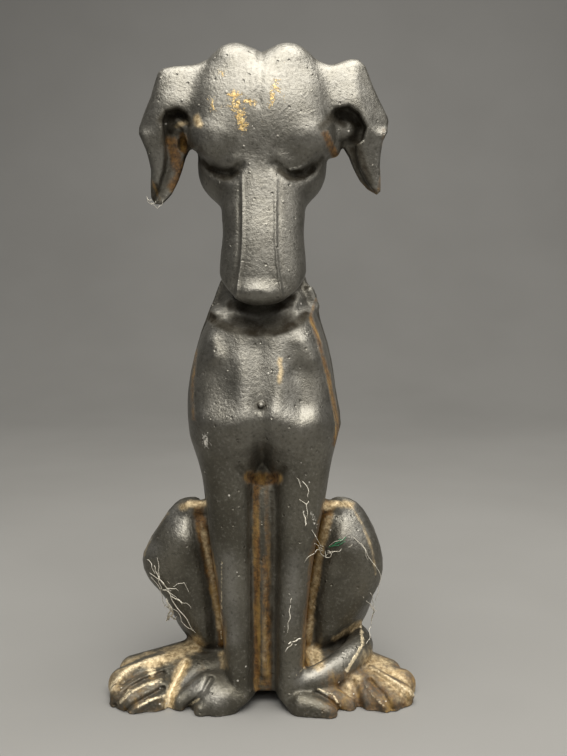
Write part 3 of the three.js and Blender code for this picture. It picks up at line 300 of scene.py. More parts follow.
        # neck: recessed below the chin, with slack skin
        zarc = 232.4 + 9.6 * ((x + 0.5) / 28) ** 2
        t = t + 5.4 * step(-5.5, 6.0, z - zarc) * step(268, 250, z) * front
        t = t - 2.0 * mark([(-26.4, 244.0), (-20.5, 247.8), (-14.7, 249.9)], 3.4) * front
        t = t + 1.3 * mark([(-27.0, 238.2), (-19.4, 238.5), (-10.7, 237.0)], 2.2) * front
        t = t - 1.0 * mark([(-20.6, 242.3), (-10.1, 241.7)], 3.4) * front
        t = t - 3.4 * mark([(12.1, 243.5), (19.7, 245.8), (25.5, 251.0)], 6.2) * front
        t = smin(t, F.cap((28.8, -3, 252), (31.6, -3, 243), 3.4, 3.6), 3.5)
        # chest: scooped hollows between soft ridges, full swells below
        t = t - 1.9 * mark([(-29.4, 225.5), (-27.3, 216.8)], 5.6) * front
        t = t - 2.2 * mark([(26.4, 224.0), (29.9, 215.7)], 6.8) * front
        t = t + 0.7 * mark([(-26.1, 205.2), (-22.7, 194.5)], 7.5) * front
        t = t + 0.4 * mark([(-19.3, 222.5), (-19.4, 211.1), (-18.9, 199.0)], 6.0) * front
        t = t - 0.5 * mark([(-12.7, 213.1), (-11.5, 198.0), (-9.2, 186.1)], 5.0) * front
        t = t + 1.9 * mark([(-2.0, 220.6), (-0.8, 205.2), (0.3, 190.9)], 6.5) * front
        t = t - 0.7 * mark([(13.3, 207.6), (12.1, 195.7), (8.0, 184.9)], 4.6) * front
        t = t + 2.0 * mark([(22.3, 206.7), (23.4, 188.0)], 6.5) * front
        t = t + 0.9 * mark([(19.2, 220.6), (18.0, 205.2)], 4.4) * front
        t = t - 2.5 * mark([(-32.3, 176.5), (-22.2, 175.3), (-12.2, 177.1)], 9.0) * front
        t = t - 2.9 * mark([(6.8, 178.3), (14.5, 177.1), (22.8, 172.9), (32.2, 176.5)], 9.0) * front
        t = t + 2.2 * mark([(0.4, 183.0), (0.2, 163.2), (0.2, 148.6)], 5.5) * front
        gd = tab(z, [(130, 7), (142, 7), (152, 5.0), (164, 2.4), (174, 0.8), (182, 0)])
        t = t + gd * mark([(0.3, 182), (0.8, 132)], 5.2) * front
        t = smin(t, F.ell((-0.1, -47.6, 188.6), (2.2, 3.2, 2.2)), 0.6)
        t = smin(t, F.ell((-3.2, -49.0, 183.6), (1.3, 2.2, 1.3)), 0.5)
        # casting flange along the sides
        rim = F.plate([(24, 262), (29.5, 254.5), (33.4, 250), (34.0, 245.0), (36.0, 233.3), (40.2, 221.0), (43.0, 208.7), (45.2, 192.3), (48.4, 177.0), (49.2, 168.7), (46.8, 159.5), (43.6, 150), (41.2, 138), (38.0, 122), (20, 118)], 1.0, 2.6, 1.5)
        t = smin(t, rim, 1.8)
        rim = F.plate([(-22, 262), (-25.8, 258.8), (-29.4, 249.4), (-34.2, 237.3), (-38.4, 226.5), (-42.0, 212.8), (-45.0, 197.8), (-47.3, 184.0), (-46.1, 167.3), (-41.4, 153.3), (-39.2, 137), (-37.2, 122), (-34, 108), (-20, 106)],
                      2.0, 1.8, 1.2)
        t = smin(t, rim, 1.8)
    d = smin(d, t, 3.5)

    if zlo < 205:
        # ---- forelegs ----
        L = column(F, [(0, -13.6, 9.4, -49, -8), (20, -13.9, 9.4, -48.6, -8), (38, -14.3, 9.9, -47.6, -8), (61, -15.6, 10.8, -46.2, -8), (90, -17.9, 12.7, -44.6, -6), (112, -19.2, 14.0, -43.4, -4),
                       (129, -20.0, 14.8, -42.9, -2), (150, -21.5, 17.2, -43.2, 4), (170, -23, 20, -43.5, 10), (192, -23, 20, -40, 10)], 2.5)
        R = column(F, [(0, 16.8, 9.6, -49.5, -8), (20, 16.9, 9.6, -48.8, -8), (46, 17.1, 9.9, -47.4, -8), (75, 18.4, 11.0, -45.6, -8), (109, 21.1, 13.8, -43.6, -4), (129, 23.0, 15.9, -42.9, -2),
                       (150, 24, 18.2, -43.2, 4), (170, 24.5, 20, -43.5, 10), (192, 24, 20, -40, 10)], 2.5)
        lg = np.minimum(L, R)
        lg = smax(lg, z - 176, 16)
        d = smin(d, lg, 7.0)
        # web between them, with its keel
        wb = column(F, [(0, 1.2, 9.5, -38.6, 0), (60, 1.2, 9.5, -37.0, 0), (110, 1.1, 9.5, -35.2, 0), (128, 1.1, 9.5, -33.0, 0), (142, 1.0, 9.0, -29.5, 0), (152, 1.0, 9.0, -25, 0)], 6)
        wb = smax(wb, z - 150, 3)
        d = smin(d, wb, 1.4)
        keel = F.path([(0.8, -29.5, 130, 2.2), (1.0, -33.0, 108, 2.8), (1.1, -35.0, 84, 2.8), (1.2, -36.2, 60, 2.6), (1.2, -37.6, 20, 2.2)], 2)
        d = smin(d, keel, 2.5)
        d = smax(d, -F.ell((0.6, -47, 141.5), (7.5, 15, 8.5)), 4.5)
        d = d + 1.4 * mark([(-12.9, 148.6), (-8.2, 143.7), (-3.4, 141.9)], 2.6) * front
        d = d + 1.4 * mark([(3.7, 141.9), (8.5, 144.4), (12.7, 148.6)], 2.6) * front

    if zlo < 135:
        # ---- hind legs ----
        haL = loop([(-40.5, 120.0), (-46.7, 121.6), (-53.6, 119.4), (-60.6, 111.7), (-69.6, 96.8), (-76.4, 85.1), (-75.7, 75.9), (-67.1, 62.2), (-57.8, 47.0), (-49.1, 34.4), (-42.8, 26.4), (-30.7, 23.7), (-26.8, 31.7), (-31.0, 58.2), (-35.8, 90.9), (-38.1, 110.4)], 2)
        haR = loop([(43.3, 120.0), (51.4, 121.6), (60.2, 117.4), (67.9, 105.8), (75.0, 89.0), (76.1, 74.6), (72.2, 60.8), (63.5, 46.3), (55.3, 35.7), (46.5, 26.4), (31.2, 23.7), (27.3, 31.7), (29.8, 58.2), (36.6, 90.9), (40.9, 110.4)], 2)
        for s, pts in ((-1, haL), (1, haR)):
            ax = s * x
            yf = -21.5 + 0.20 * np.clip(ax - 36, 0, 60) + tab(z, [(20, 5), (40, 2), (60, 0.5), (84, 0), (96, 1.6), (106, 5), (114, 9.5), (122, 15)])
            yb = tab(z, [(20, 40), (50, 42), (80, 36), (105, 20), (122, 10)])
            h = F.plate(pts, (yf + yb) / 2, (yb - yf) / 2, 13.0)
            # full upper corner, slack below
            h = h - 2.6 * mark([(s * 49, 104), (s * 57, 96), (s * 64, 84)], 10) * front
            h = h + 1.6 * mark([(s * 46, 84), (s * 46, 56)], 12) * front
            # inner edge turns in toward the foreleg
            xi = tab(z, [(24, 27), (53, 28), (65, 30), (86, 34.5), (112, 41)]) if s < 0 else tab(z, [(24, 32.5), (60, 33.5), (94, 38), (117, 45)])
            h = smax(h, ((xi - ax) * 1.1 - (y - yf - 4)) * 0.7, 5)
            th = F.ell((-38.5, 22, 57), (25, 33, 40)) if s < 0 else F.ell((44, 22, 60), (29, 34, 42))
            h = smin(h, th, 8)
            d = smin(d, h, 2.5)
            # lip on top
            d = smin(d, F.cap((s * 33, -6.5, 115.8), (s * 46, -5.5, 116.4), 4.2, 4.6), 6.0)
        # sloping strips that close the gap between thigh and foreleg
        d = smin(d, F.cap((-35.4, -5, 105.5), (-26.1, -7, 32.1), 8, 8), 2.0)
        d = smin(d, F.cap((42.7, -5, 106.8), (26.1, -7, 22.1), 8, 8), 2.0)
        d = smin(d, F.ell((0, 28, 30), (48, 38, 50)), 10)

    if zlo < 70:
        # foot of the flanks, between forelegs and hind legs
        for s in (-1, 1):
            d = smin(d, F.sell((s * 35, -10, 4), (23, 25, 19), 2.6), 7)
        # ---- left paws ----
        p = F.cap((-41, 6, 12.5), (-83, -6, 7.5), 12.5, 10.0)
        p = smin(p, F.cap((-44, -4, 12), (-87, -23, 6.5), 12.5, 10.2), 5)
        p = smin(p, F.cap((-46, -14, 9), (-86, -38, 4.0), 11.5, 8.4), 5)
        p = smin(p, F.cap((-46, -24, 6), (-78, -45.5, 3.2), 10.5, 7.4), 4)
        p = smin(p, F.cap((-42, -30, 5), (-66, -43.5, 2.5), 10.5, 6.4), 4)
        low = step(30, 24, z) * step(10, 0, y)
        p = p - 1.0 * mark([(-60.7, 31.7), (-71.1, 29.2), (-83.5, 22.7), (-92.3, 10.5)], 2.2) * low
        p = p + 1.3 * mark([(-62.6, 25.3), (-76.2, 20.2), (-85.5, 13.1), (-91.3, 4.0)], 2.2) * low
        p = p - 0.7 * mark([(-65.8, 20.8), (-76.2, 16.9), (-85.0, 9.8), (-88.8, 2.7)], 2.0) * low
        p = p + 2.1 * mark([(-60.8, 21.1), (-71.2, 17.1), (-80.1, 12.1), (-87.2, 5.4), (-90.1, 0.1)], 1.6) * low
        p = p - 1.0 * mark([(-62.4, 16.0), (-72.5, 13.4), (-82.1, 8.1), (-87.9, 1.4)], 2.2) * low
        p = p + 2.2 * mark([(-61.0, 10.8), (-68.8, 6.3), (-77.2, 1.7), (-83.4, -3.2)], 1.7) * low
        p = p - 1.0 * mark([(-62.9, 5.0), (-70.2, 2.4), (-76.0, -2.5)], 1.8) * low
        p = smax(p, y - 16, 5)
        d = smin(d, p, 4.0)
        q = F.ell((-26, -36.5, 6), (23, 18.5, 13))
        q = smin(q, F.cap((-33.5, -38.5, 13.0), (-49.5, -44.0, 4.2), 7.0, 5.6), 2.5)
        q = smin(q, F.cap((-22, -47.5, 8.5), (-36.5, -52, 3.0), 6.2, 4.4), 2.5)
        q = smin(q, F.cap((-15, -44, 5), (-27, -50.5, 3), 8, 6), 2.5)
        q = q + 2.0 * mark([(-31.5, 17.3), (-35.5, 8.7), (-41.8, 2.7), (-46.2, -1.9)], 1.8) * low
        d = smin(d, q, 3.0)
        d = d + 2.4 * mark([(-47.1, 25.9), (-52.0, 17.3), (-56.2, 8.2), (-58.5, -3.2)], 2.0) * low
        # ---- right paws ----
        low = step(26, 20, z) * step(8, -2, y)
        p = F.cap((48, 5, 12), (80, -7, 6.5), 11.5, 9.0)
        p = smin(p, F.cap((46, 0, 9), (87.5, -20, 5), 11.5, 9.2), 4)
        p = smin(p, F.cap((50, -12, 8), (85, -36, 4), 11, 8.2), 5)
        p = smin(p, F.cap((52, -22, 7), (76.5, -43.5, 3.2), 10.5, 7.6), 5)
        p = smin(p, F.cap((50, -26, 5), (66, -41.5, 2.6), 9.5, 6.6), 4)
        p = p - 0.9 * mark([(66.0, 25.0), (75.7, 19.4), (89.2, 10.2), (93.2, 5.9)], 1.5) * low
        p = p + 0.9 * mark([(68.5, 20.8), (74.7, 16.3), (82.1, 10.5), (89.4, 2.7)], 1.4) * low
        p = p + 2.2 * mark([(66.1, 15.9), (69.8, 11.4), (74.8, 6.3), (79.5, -2.5)], 1.9) * low
        p = p - 0.9 * mark([(62.4, 17.6), (66.7, 10.1), (74.3, -1.2)], 2.0) * low
        p = smax(p, y - 14, 5)
        p = smin(p, F.ell((50, 9, 14), (14, 13, 14)), 4)
        d = smin(d, p, 4.0)
        q = F.ell((30, -38, 2.5), (22, 18.5, 10.5))
        q = smin(q, F.cap((24, -49.5, 5.0), (40.5, -54.0, 2.4), 7.2, 5.0), 2.5)
        q = smin(q, F.cap((38, -38, 7.0), (53.0, -44.6, 2.0), 6.4, 4.2), 2.5)
        q = q + 2.2 * mark([(33.0, 8.1), (40.4, 3.8), (45.9, -0.6), (49.7, -5.8)], 1.5) * low
        d = smin(d, q, 3.0)
        d = d + 1.9 * mark([(55.6, 15.0), (59.1, 5.9), (61.1, -3.2)], 2.2) * low
    if zlo < 60:
        # ---- tail, round the right side ----
        tail = F.path([(10, 56, 14, 10), (34, 48, 17, 10), (52, 30, 20, 9.6), (61, 8, 22.5, 9.2), (61, -8, 22.5, 9.0), (54.5, -19, 20.5, 9.0), (45, -29, 17.5, 8.8), (36, -35.5, 15.6, 8.2),
                       (27, -39.5, 15, 6.8), (18.5, -42.5, 15.2, 4.4), (12, -44, 15.4, 2.0)], 2, sz=1.12)
        d = smin(d, tail, 2.5)
        # arch between the forepaws
        d = smax(d, -F.cap((1.0, -90, -15), (1.0, -30, -15), 22, 22), 4.5)
        # thin casting flash round the foot
        d = d - 0.9 * np.exp(-((z / 1.5) ** 2))
    # flat underside
    d = np.maximum(d, -z)
    return d


def grid_field(fn, lo, hi, h, band=None):
    """Evaluates fn on a grid, exactly only near the surface."""
    n = [int(round((b - a) / h)) + 1 for a, b in zip(lo, hi)]
    axes = [lo[i] + h * np.arange(n[i], dtype=f32) for i in range(3)]
    B = 6
    nb = [-(-(k - 1) // B) + 1 for k in n]
    ca = [lo[i] + h * B * np.arange(nb[i], dtype=f32) for i in range(3)]
    cx, cy, cz = np.meshgrid(*ca, indexing="ij")
    c = fn(cx.ravel(), cy.ravel(), cz.ravel()).reshape(cx.shape)
    reach = B * h * 1.8 + 3
    near = np.abs(c) < reach
    # block (i,j,k) spans coarse corners i..i+1
    act = np.zeros([k - 1 for k in nb], bool)
    for i in (0, 1):
        for j in (0, 1):
            for k in (0, 1):
                act |= near[i:nb[0] - 1 + i, j:nb[1] - 1 + j, k:nb[2] - 1 + k]
    full = [(k - 1) * B for k in nb]
    sign = np.where(c > 0, f32(99), f32(-99))
    V = np.repeat(np.repeat(np.repeat(sign, B, 0), B, 1), B, 2)[:n[0], :n[1], :n[2]].copy()
    m = np.zeros([k * B for k in act.shape], bool)
    m = np.repeat(np.repeat(np.repeat(act, B, 0), B, 1), B, 2)
    M = np.zeros(n, bool)
    s = [min(n[i], m.shape[i]) for i in range(3)]
    M[:s[0], :s[1], :s[2]] = m[:s[0], :s[1], :s[2]]
    # include the far faces of active blocks
    M[1:] |= M[:-1].copy()
    M[:, 1:] |= M[:, :-1].copy()
    M[:, :, 1:] |= M[:, :, :-1].copy()
    K, J, I = np.nonzero(M.transpose(2, 1, 0))
    vals = np.empty(len(I), f32)
    C = 200000
    for a in range(0, len(I), C):
        b = min(len(I), a + C)
        vals[a:b] = fn(axes[0][I[a:b]], axes[1][J[a:b]], axes[2][K[a:b]])
    V[I, J, K] = vals
    return V, axes


def surface_nets(V, axes):
    """Quads of the zero surface: one vertex in each cell that it crosses."""
    S = V < 0
    n = V.shape
    lo = [a[0] for a in axes]
    h = [a[1] - a[0] for a in axes]
    cell = np.zeros([k - 1 for k in n], np.int8)
    for i in (0, 1):
        for j in (0, 1):
            for k in (0, 1):
                cell += S[i:n[0] - 1 + i, j:n[1] - 1 + j, k:n[2] - 1 + k]
    ci, cj, ck = np.nonzero((cell > 0) & (cell < 8))
    idx = np.full(cell.shape, -1, np.int64)
    idx[ci, cj, ck] = np.arange(len(ci))
    P = np.zeros((len(ci), 3), np.float64)
    cnt = np.zeros(len(ci))
    corners = [(i, j, k) for i in (0, 1) for j in (0, 1) for k in (0, 1)]
    val = {c: V[ci + c[0], cj + c[1], ck + c[2]].astype(np.float64) for c in corners}
    for a in corners:
        for ax in range(3):
            if a[ax] == 0:
                b = list(a)
                b[ax] = 1
                b = tuple(b)
                va, vb = val[a], val[b]
                cross = (va < 0) != (vb < 0)
                t = np.where(cross, va / np.where(cross, va - vb, 1), 0)
                for q in range(3):
                    P[:, q] += np.where(cross, a[q] + (t if q == ax else 0), 0)
                cnt += cross
    P /= cnt[:, None]
    P[:, 0] = lo[0] + (ci + P[:, 0]) * h[0]
    P[:, 1] = lo[1] + (cj + P[:, 1]) * h[1]
    P[:, 2] = lo[2] + (ck + P[:, 2]) * h[2]
    quads = []
    # edges along each axis
    for ax in range(3):
        a = [slice(0, k) for k in n]
        b = [slice(0, k) for k in n]
        a[ax] = slice(0, n[ax] - 1)
        b[ax] = slice(1, n[ax])
        s0, s1 = S[tuple(a)], S[tuple(b)]
        e = np.nonzero(s0 != s1)
        e = [np.array(v) for v in e]
        u, w = [(1, 2), (2, 0), (0, 1)][ax]
        ok = (e[u] > 0) & (e[w] > 0) & (e[u] < n[u] - 1) & (e[w] < n[w] - 1)
        e = [v[ok] for v in e]
        inside = S[tuple(e)]

        def at(du, dw):
            q = [v.copy() for v in e]
            q[u] = q[u] + du
            q[w] = q[w] + dw
            return idx[tuple(q)]
        Q = np.stack([at(-1, -1), at(0, -1), at(0, 0), at(-1, 0)], 1)
        Q[~inside] = Q[~inside][:, ::-1]
        quads.append(Q)
    return P, np.concatenate(quads)


LO, HI = (-108, -70, -4), (108, 76, 408)


def mesh(h, fn=dog):
    V, axes = grid_field(fn, LO, HI, h)
    return surface_nets(V, axes)

# ---------------------------------------------------------------- the casting


def hashed(i, j, k, seed):
    """One repeatable number in 0..1 for each lattice point."""
    n = (i * 73856093) ^ (j * 19349663) ^ (k * 83492791) ^ (seed * 2654435761)
    n = (n ^ (n >> 13)) * 1274126177 & 0x7FFFFFFF
    n = (n ^ (n >> 16)) * 668265263 & 0x7FFFFFFF
    return ((n ^ (n >> 15)) & 0xFFFFFF) / float(0xFFFFFF)


def wobble(P, size, seed):
    """Smooth noise in -1..1 with features of the given size."""
    p = P / size
    i = np.floor(p).astype(np.int64)
    f = p - i
    f = f * f * f * (f * (f * 6 - 15) + 10)
    out = 0
    for a in (0, 1):
        for b in (0, 1):
            for c in (0, 1):
                w = (f[:, 0] if a else 1 - f[:, 0]) * (f[:, 1] if b else 1 - f[:, 1]) * (f[:, 2] if c else 1 - f[:, 2])
                out = out + w * hashed(i[:, 0] + a, i[:, 1] + b, i[:, 2] + c, seed)
    return out * 2 - 1


def new_object(name, verts, faces, smooth=True):
    me = bpy.data.meshes.new(name)
    verts = np.asarray(verts, np.float32)
    faces = np.asarray(faces, np.int32)
    k = faces.shape[1]
    me.vertices.add(len(verts))
    me.vertices.foreach_set("co", verts.ravel())
    me.loops.add(faces.size)
    me.loops.foreach_set("vertex_index", faces.ravel())
    me.polygons.add(len(faces))
    me.polygons.foreach_set("loop_start", np.arange(len(faces), dtype=np.int32) * k)
    me.update(calc_edges=True)
    me.validate()
    me.shade_smooth() if smooth else me.shade_flat()
    ob = bpy.data.objects.new(name, me)
    bpy.context.scene.collection.objects.link(ob)
    return ob


P, Q = mesh(CELL)
lo, hi = P.min(0), P.max(0)
MID = (lo + hi) / 2
TALL = H / hi[2]
statue = new_object("dog_statue_skin", P, Q)
cut = statue.modifiers.new("thin", "DECIMATE")
cut.ratio = min(1.0, MOST / (2.0 * len(Q)))
dg = bpy.context.evaluated_depsgraph_get()
fine = bpy.data.meshes.new_from_object(statue.evaluated_get(dg))
statue.modifiers.clear()
old = statue.data
statue.data = fine
bpy.data.meshes.remove(old)
fine.name = "dog_statue_skin"
fine.shade_smooth()

n = len(fine.vertices)
co = np.empty(n * 3, np.float32)
fine.vertices.foreach_get("co", co)
co = co.reshape(-1, 3).astype(np.float64)


def probe(c):
    """Distance at points, taken in layers so that each layer meets only the forms that reach it."""
    order = np.argsort(c[:, 2])
    out = np.empty(len(c))
    for a in range(0, len(c), 12000):
        i = order[a:a + 12000]
        out[i] = dog(*c[i].astype(np.float32).T)
    return out


# settle each vertex on the exact surface and take its normal from the field
d0 = probe(co)
nr = np.stack([probe(co + e) - d0 for e in np.eye(3) * 0.5], 1) / 0.5
size = np.linalg.norm(nr, axis=1) + 1e-6
nr /= size[:, None]
free = np.clip((co[:, 2] - 1.5) / 2.0, 0, 1)
co -= nr * (np.clip(d0 / np.maximum(size, 0.5), -0.5, 0.5) * free)[:, None]
# sand-cast unevenness, kept off the flat foot
lift = 0.09 * wobble(co, 5.5, 3) + 0.05 * wobble(co, 2.6, 7)
lift *= np.clip((co[:, 2] - 1.0) / 3.0, 0, 1)
body = co + nr * lift[:, None]

# ---------------------------------------------------------------- where the dirt and wear lie, and the painted shade and highlights
k = (SHEET - EYE[1]) / np.maximum(co[:, 1] - EYE[1], 100)
U = EYE[0] + (co[:, 0] - EYE[0]) * k
V = EYE[2] + (co[:, 2] - EYE[2]) * k
X, Y, Z = co.T
ahead = np.clip((10 - Y) / 20, 0, 1)          # 1 on the front, 0 on the back
up = np.clip(nr[:, 2], 0, 1)
down = np.clip(-nr[:, 2], 0, 1)


def near(pts, w):
    """Soft weight about a polyline laid out in front of the casting."""
    best = np.full(n, 1e9)
    if len(pts) == 1:
        pts = pts * 2
    for (ax, az), (bx, bz) in zip(pts, pts[1:]):
        ex, ez = bx - ax, bz - az
        l2 = ex * ex + ez * ez or 1e-6
        wx, wz = U - ax, V - az
        t = np.clip((wx * ex + wz * ez) / l2, 0, 1)
        best = np.minimum(best, (wx - t * ex) ** 2 + (wz - t * ez) ** 2)
    return np.exp(-best / (w * w))


def spots(rows):
    """Largest of several weights: (strength, width, points)."""
    out = np.zeros(n)
    for s, w, pts in rows:
        out = np.maximum(out, s * near(pts, w))
    return out


def sstep(a, b, v):
    t = np.clip((v - a) / (b - a), 0, 1)
    return t * t * (3 - 2 * t)


# marks laid out in front of the casting stay on the faces turned that way
seen = sstep(0.30, -0.10, nr[:, 1]) * sstep(50, 30, Y)


# gaps: how much of the casting stands in front of a point a little way out
def gap(reach):
    v = probe(co + nr * reach)
    return np.clip(1 - v / reach, 0, 1)


# painted shade: the more enclosed a point is, the darker it is painted, on top of the real grime in creases and
# recesses
grime_and_shade = np.maximum(gap(3.0), 0.8 * gap(8.0))

rust = spots([
    (1.0, 4.5, [(-51.2, 340.0), (-48.5, 331.0), (-45.7, 320.9), (-49.8, 315.2)]), (0.9, 3.0, [(-44.3, 343.3), (-43.8, 335.5)]),
    (0.95, 3.0, [(36.7, 344.4), (40.1, 337.7), (43.0, 332.1)]), (0.6, 2.4, [(48.2, 329.9), (58.0, 315.2), (66.1, 311.3)]), (0.6, 2.0, [(69.7, 346.7), (70.5, 329.9), (67.8, 313.0)]),
    (0.8, 2.0, [(29.1, 239.4), (35.0, 220.6), (39.2, 205.2), (42.2, 190.9), (45.3, 175.9), (43.0, 163.8)]), (0.6, 1.8, [(31.9, 249.9), (28.5, 239.4)]),
    (1.0, 5.0, [(-7.0, 143.7), (0.2, 141.9), (7.9, 143.1)]), (0.95, 2.6, [(-3.4, 137.6), (-3.0, 93.1), (-3.2, 42.6), (-3.3, 10.5)]), (0.55, 3.0, [(3.1, 137.6), (3.0, 93.1)]), (0.8, 3.6, [(2.4, 93.1), (2.9, 42.6), (2.9, 10.5)]),
    (1.0, 4.2, [(-38.2, 125.4), (-36.0, 111.8), (-32.5, 93.1), (-28.5, 73.0)]), (0.95, 3.2, [(-28.5, 73.0), (-25.6, 55.3), (-24.5, 39.4)]), (1.0, 4.6, [(39.7, 126.0), (36.7, 111.8), (33.2, 95.6), (30.3, 74.3)]), (1.0, 3.6, [(30.3, 74.3), (27.9, 52.2), (26.2, 26.6)]),
    (0.6, 2.0, [(-38.3, 220.6), (-41.0, 193.9), (-40.0, 178.9)]), (0.5, 1.6, [(-58.0, 307.3), (-62.4, 318.6)]),
])
rust = rust * seen
feet = sstep(34, 22, Z + 0.12 * np.abs(X)) * sstep(16, 44, np.abs(X))
rust = np.maximum(rust, feet * np.where(X > 40, 0.62, 0.45) * (1 - near([(-35.2, 10.5), (-50.6, 10.5)], 10)))
rust = np.maximum(rust, 0.35 * sstep(2.5, 0.5, Z))
tan = spots([
    (0.9, 3.0, [(-36.2, 353.3), (-35.1, 350.0)]), (0.6, 2.5, [(-47.6, 348.9), (-42.5, 351.1)]), (0.75, 2.0, [(10.9, 214.7), (11.5, 207.6), (10.3, 200.4)]),
    (0.9, 3.0, [(-47.8, 125.4), (-41.8, 127.8), (-35.2, 127.2)]), (0.9, 3.0, [(38.5, 126.0), (45.6, 127.8), (52.8, 126.6)]),
    (1.0, 6.0, [(-68.7, 28.5), (-50.2, 34.9), (-40.4, 39.4)]), (1.0, 4.0, [(-46.7, 28.5), (-51.7, 18.2), (-58.1, 0.1)]), (0.62, 6.0, [(-92.3, 10.5), (-84.1, 24.7), (-68.6, 32.4)]),
    (1.0, 5.5, [(31.6, 34.3), (34.1, 27.2)]), (0.78, 9.0, [(67.1, 29.8), (78.3, 19.5), (87.0, 10.5)]), (0.7, 6.0, [(53.2, 9.2), (57.5, 16.9)]), (0.7, 3.0, [(-24.6, 33.0), (-23.4, 24.7)]),
    (0.36, 3.2, [(2.4, 83.7), (2.3, 10.5)]), (0.6, 2.4, [(-36.5, 114.9), (-30.8, 86.9), (-25.7, 49.0)]), (0.66, 3.0, [(40.3, 118.0), (35.6, 99.3), (31.5, 74.3), (28.6, 42.6)]),
    (0.55, 1.4, [(54.0, 126.0), (60.7, 114.2), (66.9, 97.5), (68.9, 83.7)]), (0.5, 1.4, [(-56.2, 121.7), (-66.0, 109.9), (-71.1, 95.6)]),
    (0.8, 2.5, [(44.4, 42.6), (53.5, 49.0), (59.6, 52.8)]),
])
tan = tan * seen
# cream crust on the paws, partly a painted highlight along the toe crests
crust_and_highlight = spots([
    (0.7, 2.4, [(-60.8, 32.5), (-70.9, 29.2), (-81.1, 24.0), (-88.7, 18.0), (-94.7, 8.1)]), (0.45, 2.0, [(-63.5, 25.3), (-76.2, 19.5), (-83.8, 13.7), (-89.6, 7.2)]),
    (0.75, 2.2, [(-62.4, 16.0), (-72.5, 13.4), (-82.1, 8.1), (-87.9, 1.4)]), (0.7, 2.2, [(-60.5, 5.9), (-70.2, 3.0), (-76.0, -0.6)]),
    (0.9, 2.0, [(-47.9, 27.2), (-52.6, 17.6), (-57.1, 8.5), (-59.0, -1.2)]), (1.0, 3.6, [(-67.6, 21.4)]), (0.7, 1.6, [(-38.4, 4.0), (-44.6, 0.1)]),
    (0.6, 2.4, [(66.0, 25.0), (75.7, 19.4), (89.2, 10.2), (93.2, 5.9)]), (0.6, 1.3, [(61.8, 14.3), (66.8, 7.9), (75.5, -1.9)]), (0.7, 1.3, [(34.2, 10.5), (43.4, 6.6), (48.4, -1.2)]),
    (0.6, 1.4, [(18.8, 16.9), (26.2, 24.7)]), (0.9, 1.6, [(60.2, 50.3), (61.5, 39.4), (51.9, 22.1)]),
    (0.6, 1.0, [(-24.1, 93.1), (-25.1, 42.6)]),
])
gold = spots([(1.0, 5.0, [(-14.0, 362.2), (-11.7, 355.5), (-10.1, 348.3)]), (0.95, 3.6, [(-17.3, 366.1), (-12.8, 367.2)]), (0.9, 3.6, [(-8.3, 363.3), (-3.7, 361.6)]), (0.78, 3.2, [(-28.1, 364.4), (-27.1, 357.8)]), (0.85, 3.4, [(8.8, 374.3), (5.9, 361.1)]),
              (0.72, 3.4, [(12.7, 369.9), (12.1, 363.3)]), (0.74, 4.5, [(-21.8, 378.2)]), (0.55, 9.0, [(-19.7, 358.9)]), (0.55, 6.0, [(11.0, 369.9)]), (0.6, 3.0, [(0.8, 353.3)]), (0.62, 3.0, [(13.3, 385.3)]), (0.5, 5.0, [(28.1, -3.8)])])
white = spots([(0.74, 4.2, [(-33.6, 169.2), (-33.0, 163.2)]), (0.62, 3.0, [(16.4, 40.0), (21.2, 42.6)]), (0.66, 3.4, [(30.1, 121.7), (31.9, 114.2)]), (0.6, 2.6, [(51.3, 22.1)]), (0.6, 2.2, [(60.9, 42.6)]),
               (0.5, 3.0, [(20.0, 47.7)]), (0.5, 2.4, [(-29.5, 165.0)]), (0.55, 2.0, [(32.7, 70.5), (31.5, 60.4)])])
specks = spots([(0.6, 12.0, [(-33.7, 160.8), (-28.4, 148.6)]), (0.7, 9.0, [(21.9, 335.5), (29.3, 341.1)]), (0.6, 10.0, [(-26.1, 341.1)]), (0.7, 9.0, [(0.5, 255.7)]), (0.5, 22.0, [(0.3, 202.8)]),
                (0.8, 10.0, [(30.1, 118.0), (27.8, 93.1), (20.6, 42.6)]), (0.6, 16.0, [(-22.1, 118.0), (-18.5, 36.2)]), (0.9, 14.0, [(-81.3, 10.5), (-63.0, 4.0)]), (0.9, 14.0, [(78.4, 10.5), (53.9, 4.0)])])
crust_and_highlight, gold, white, specks = crust_and_highlight * seen, gold * seen, white * seen, specks * seen
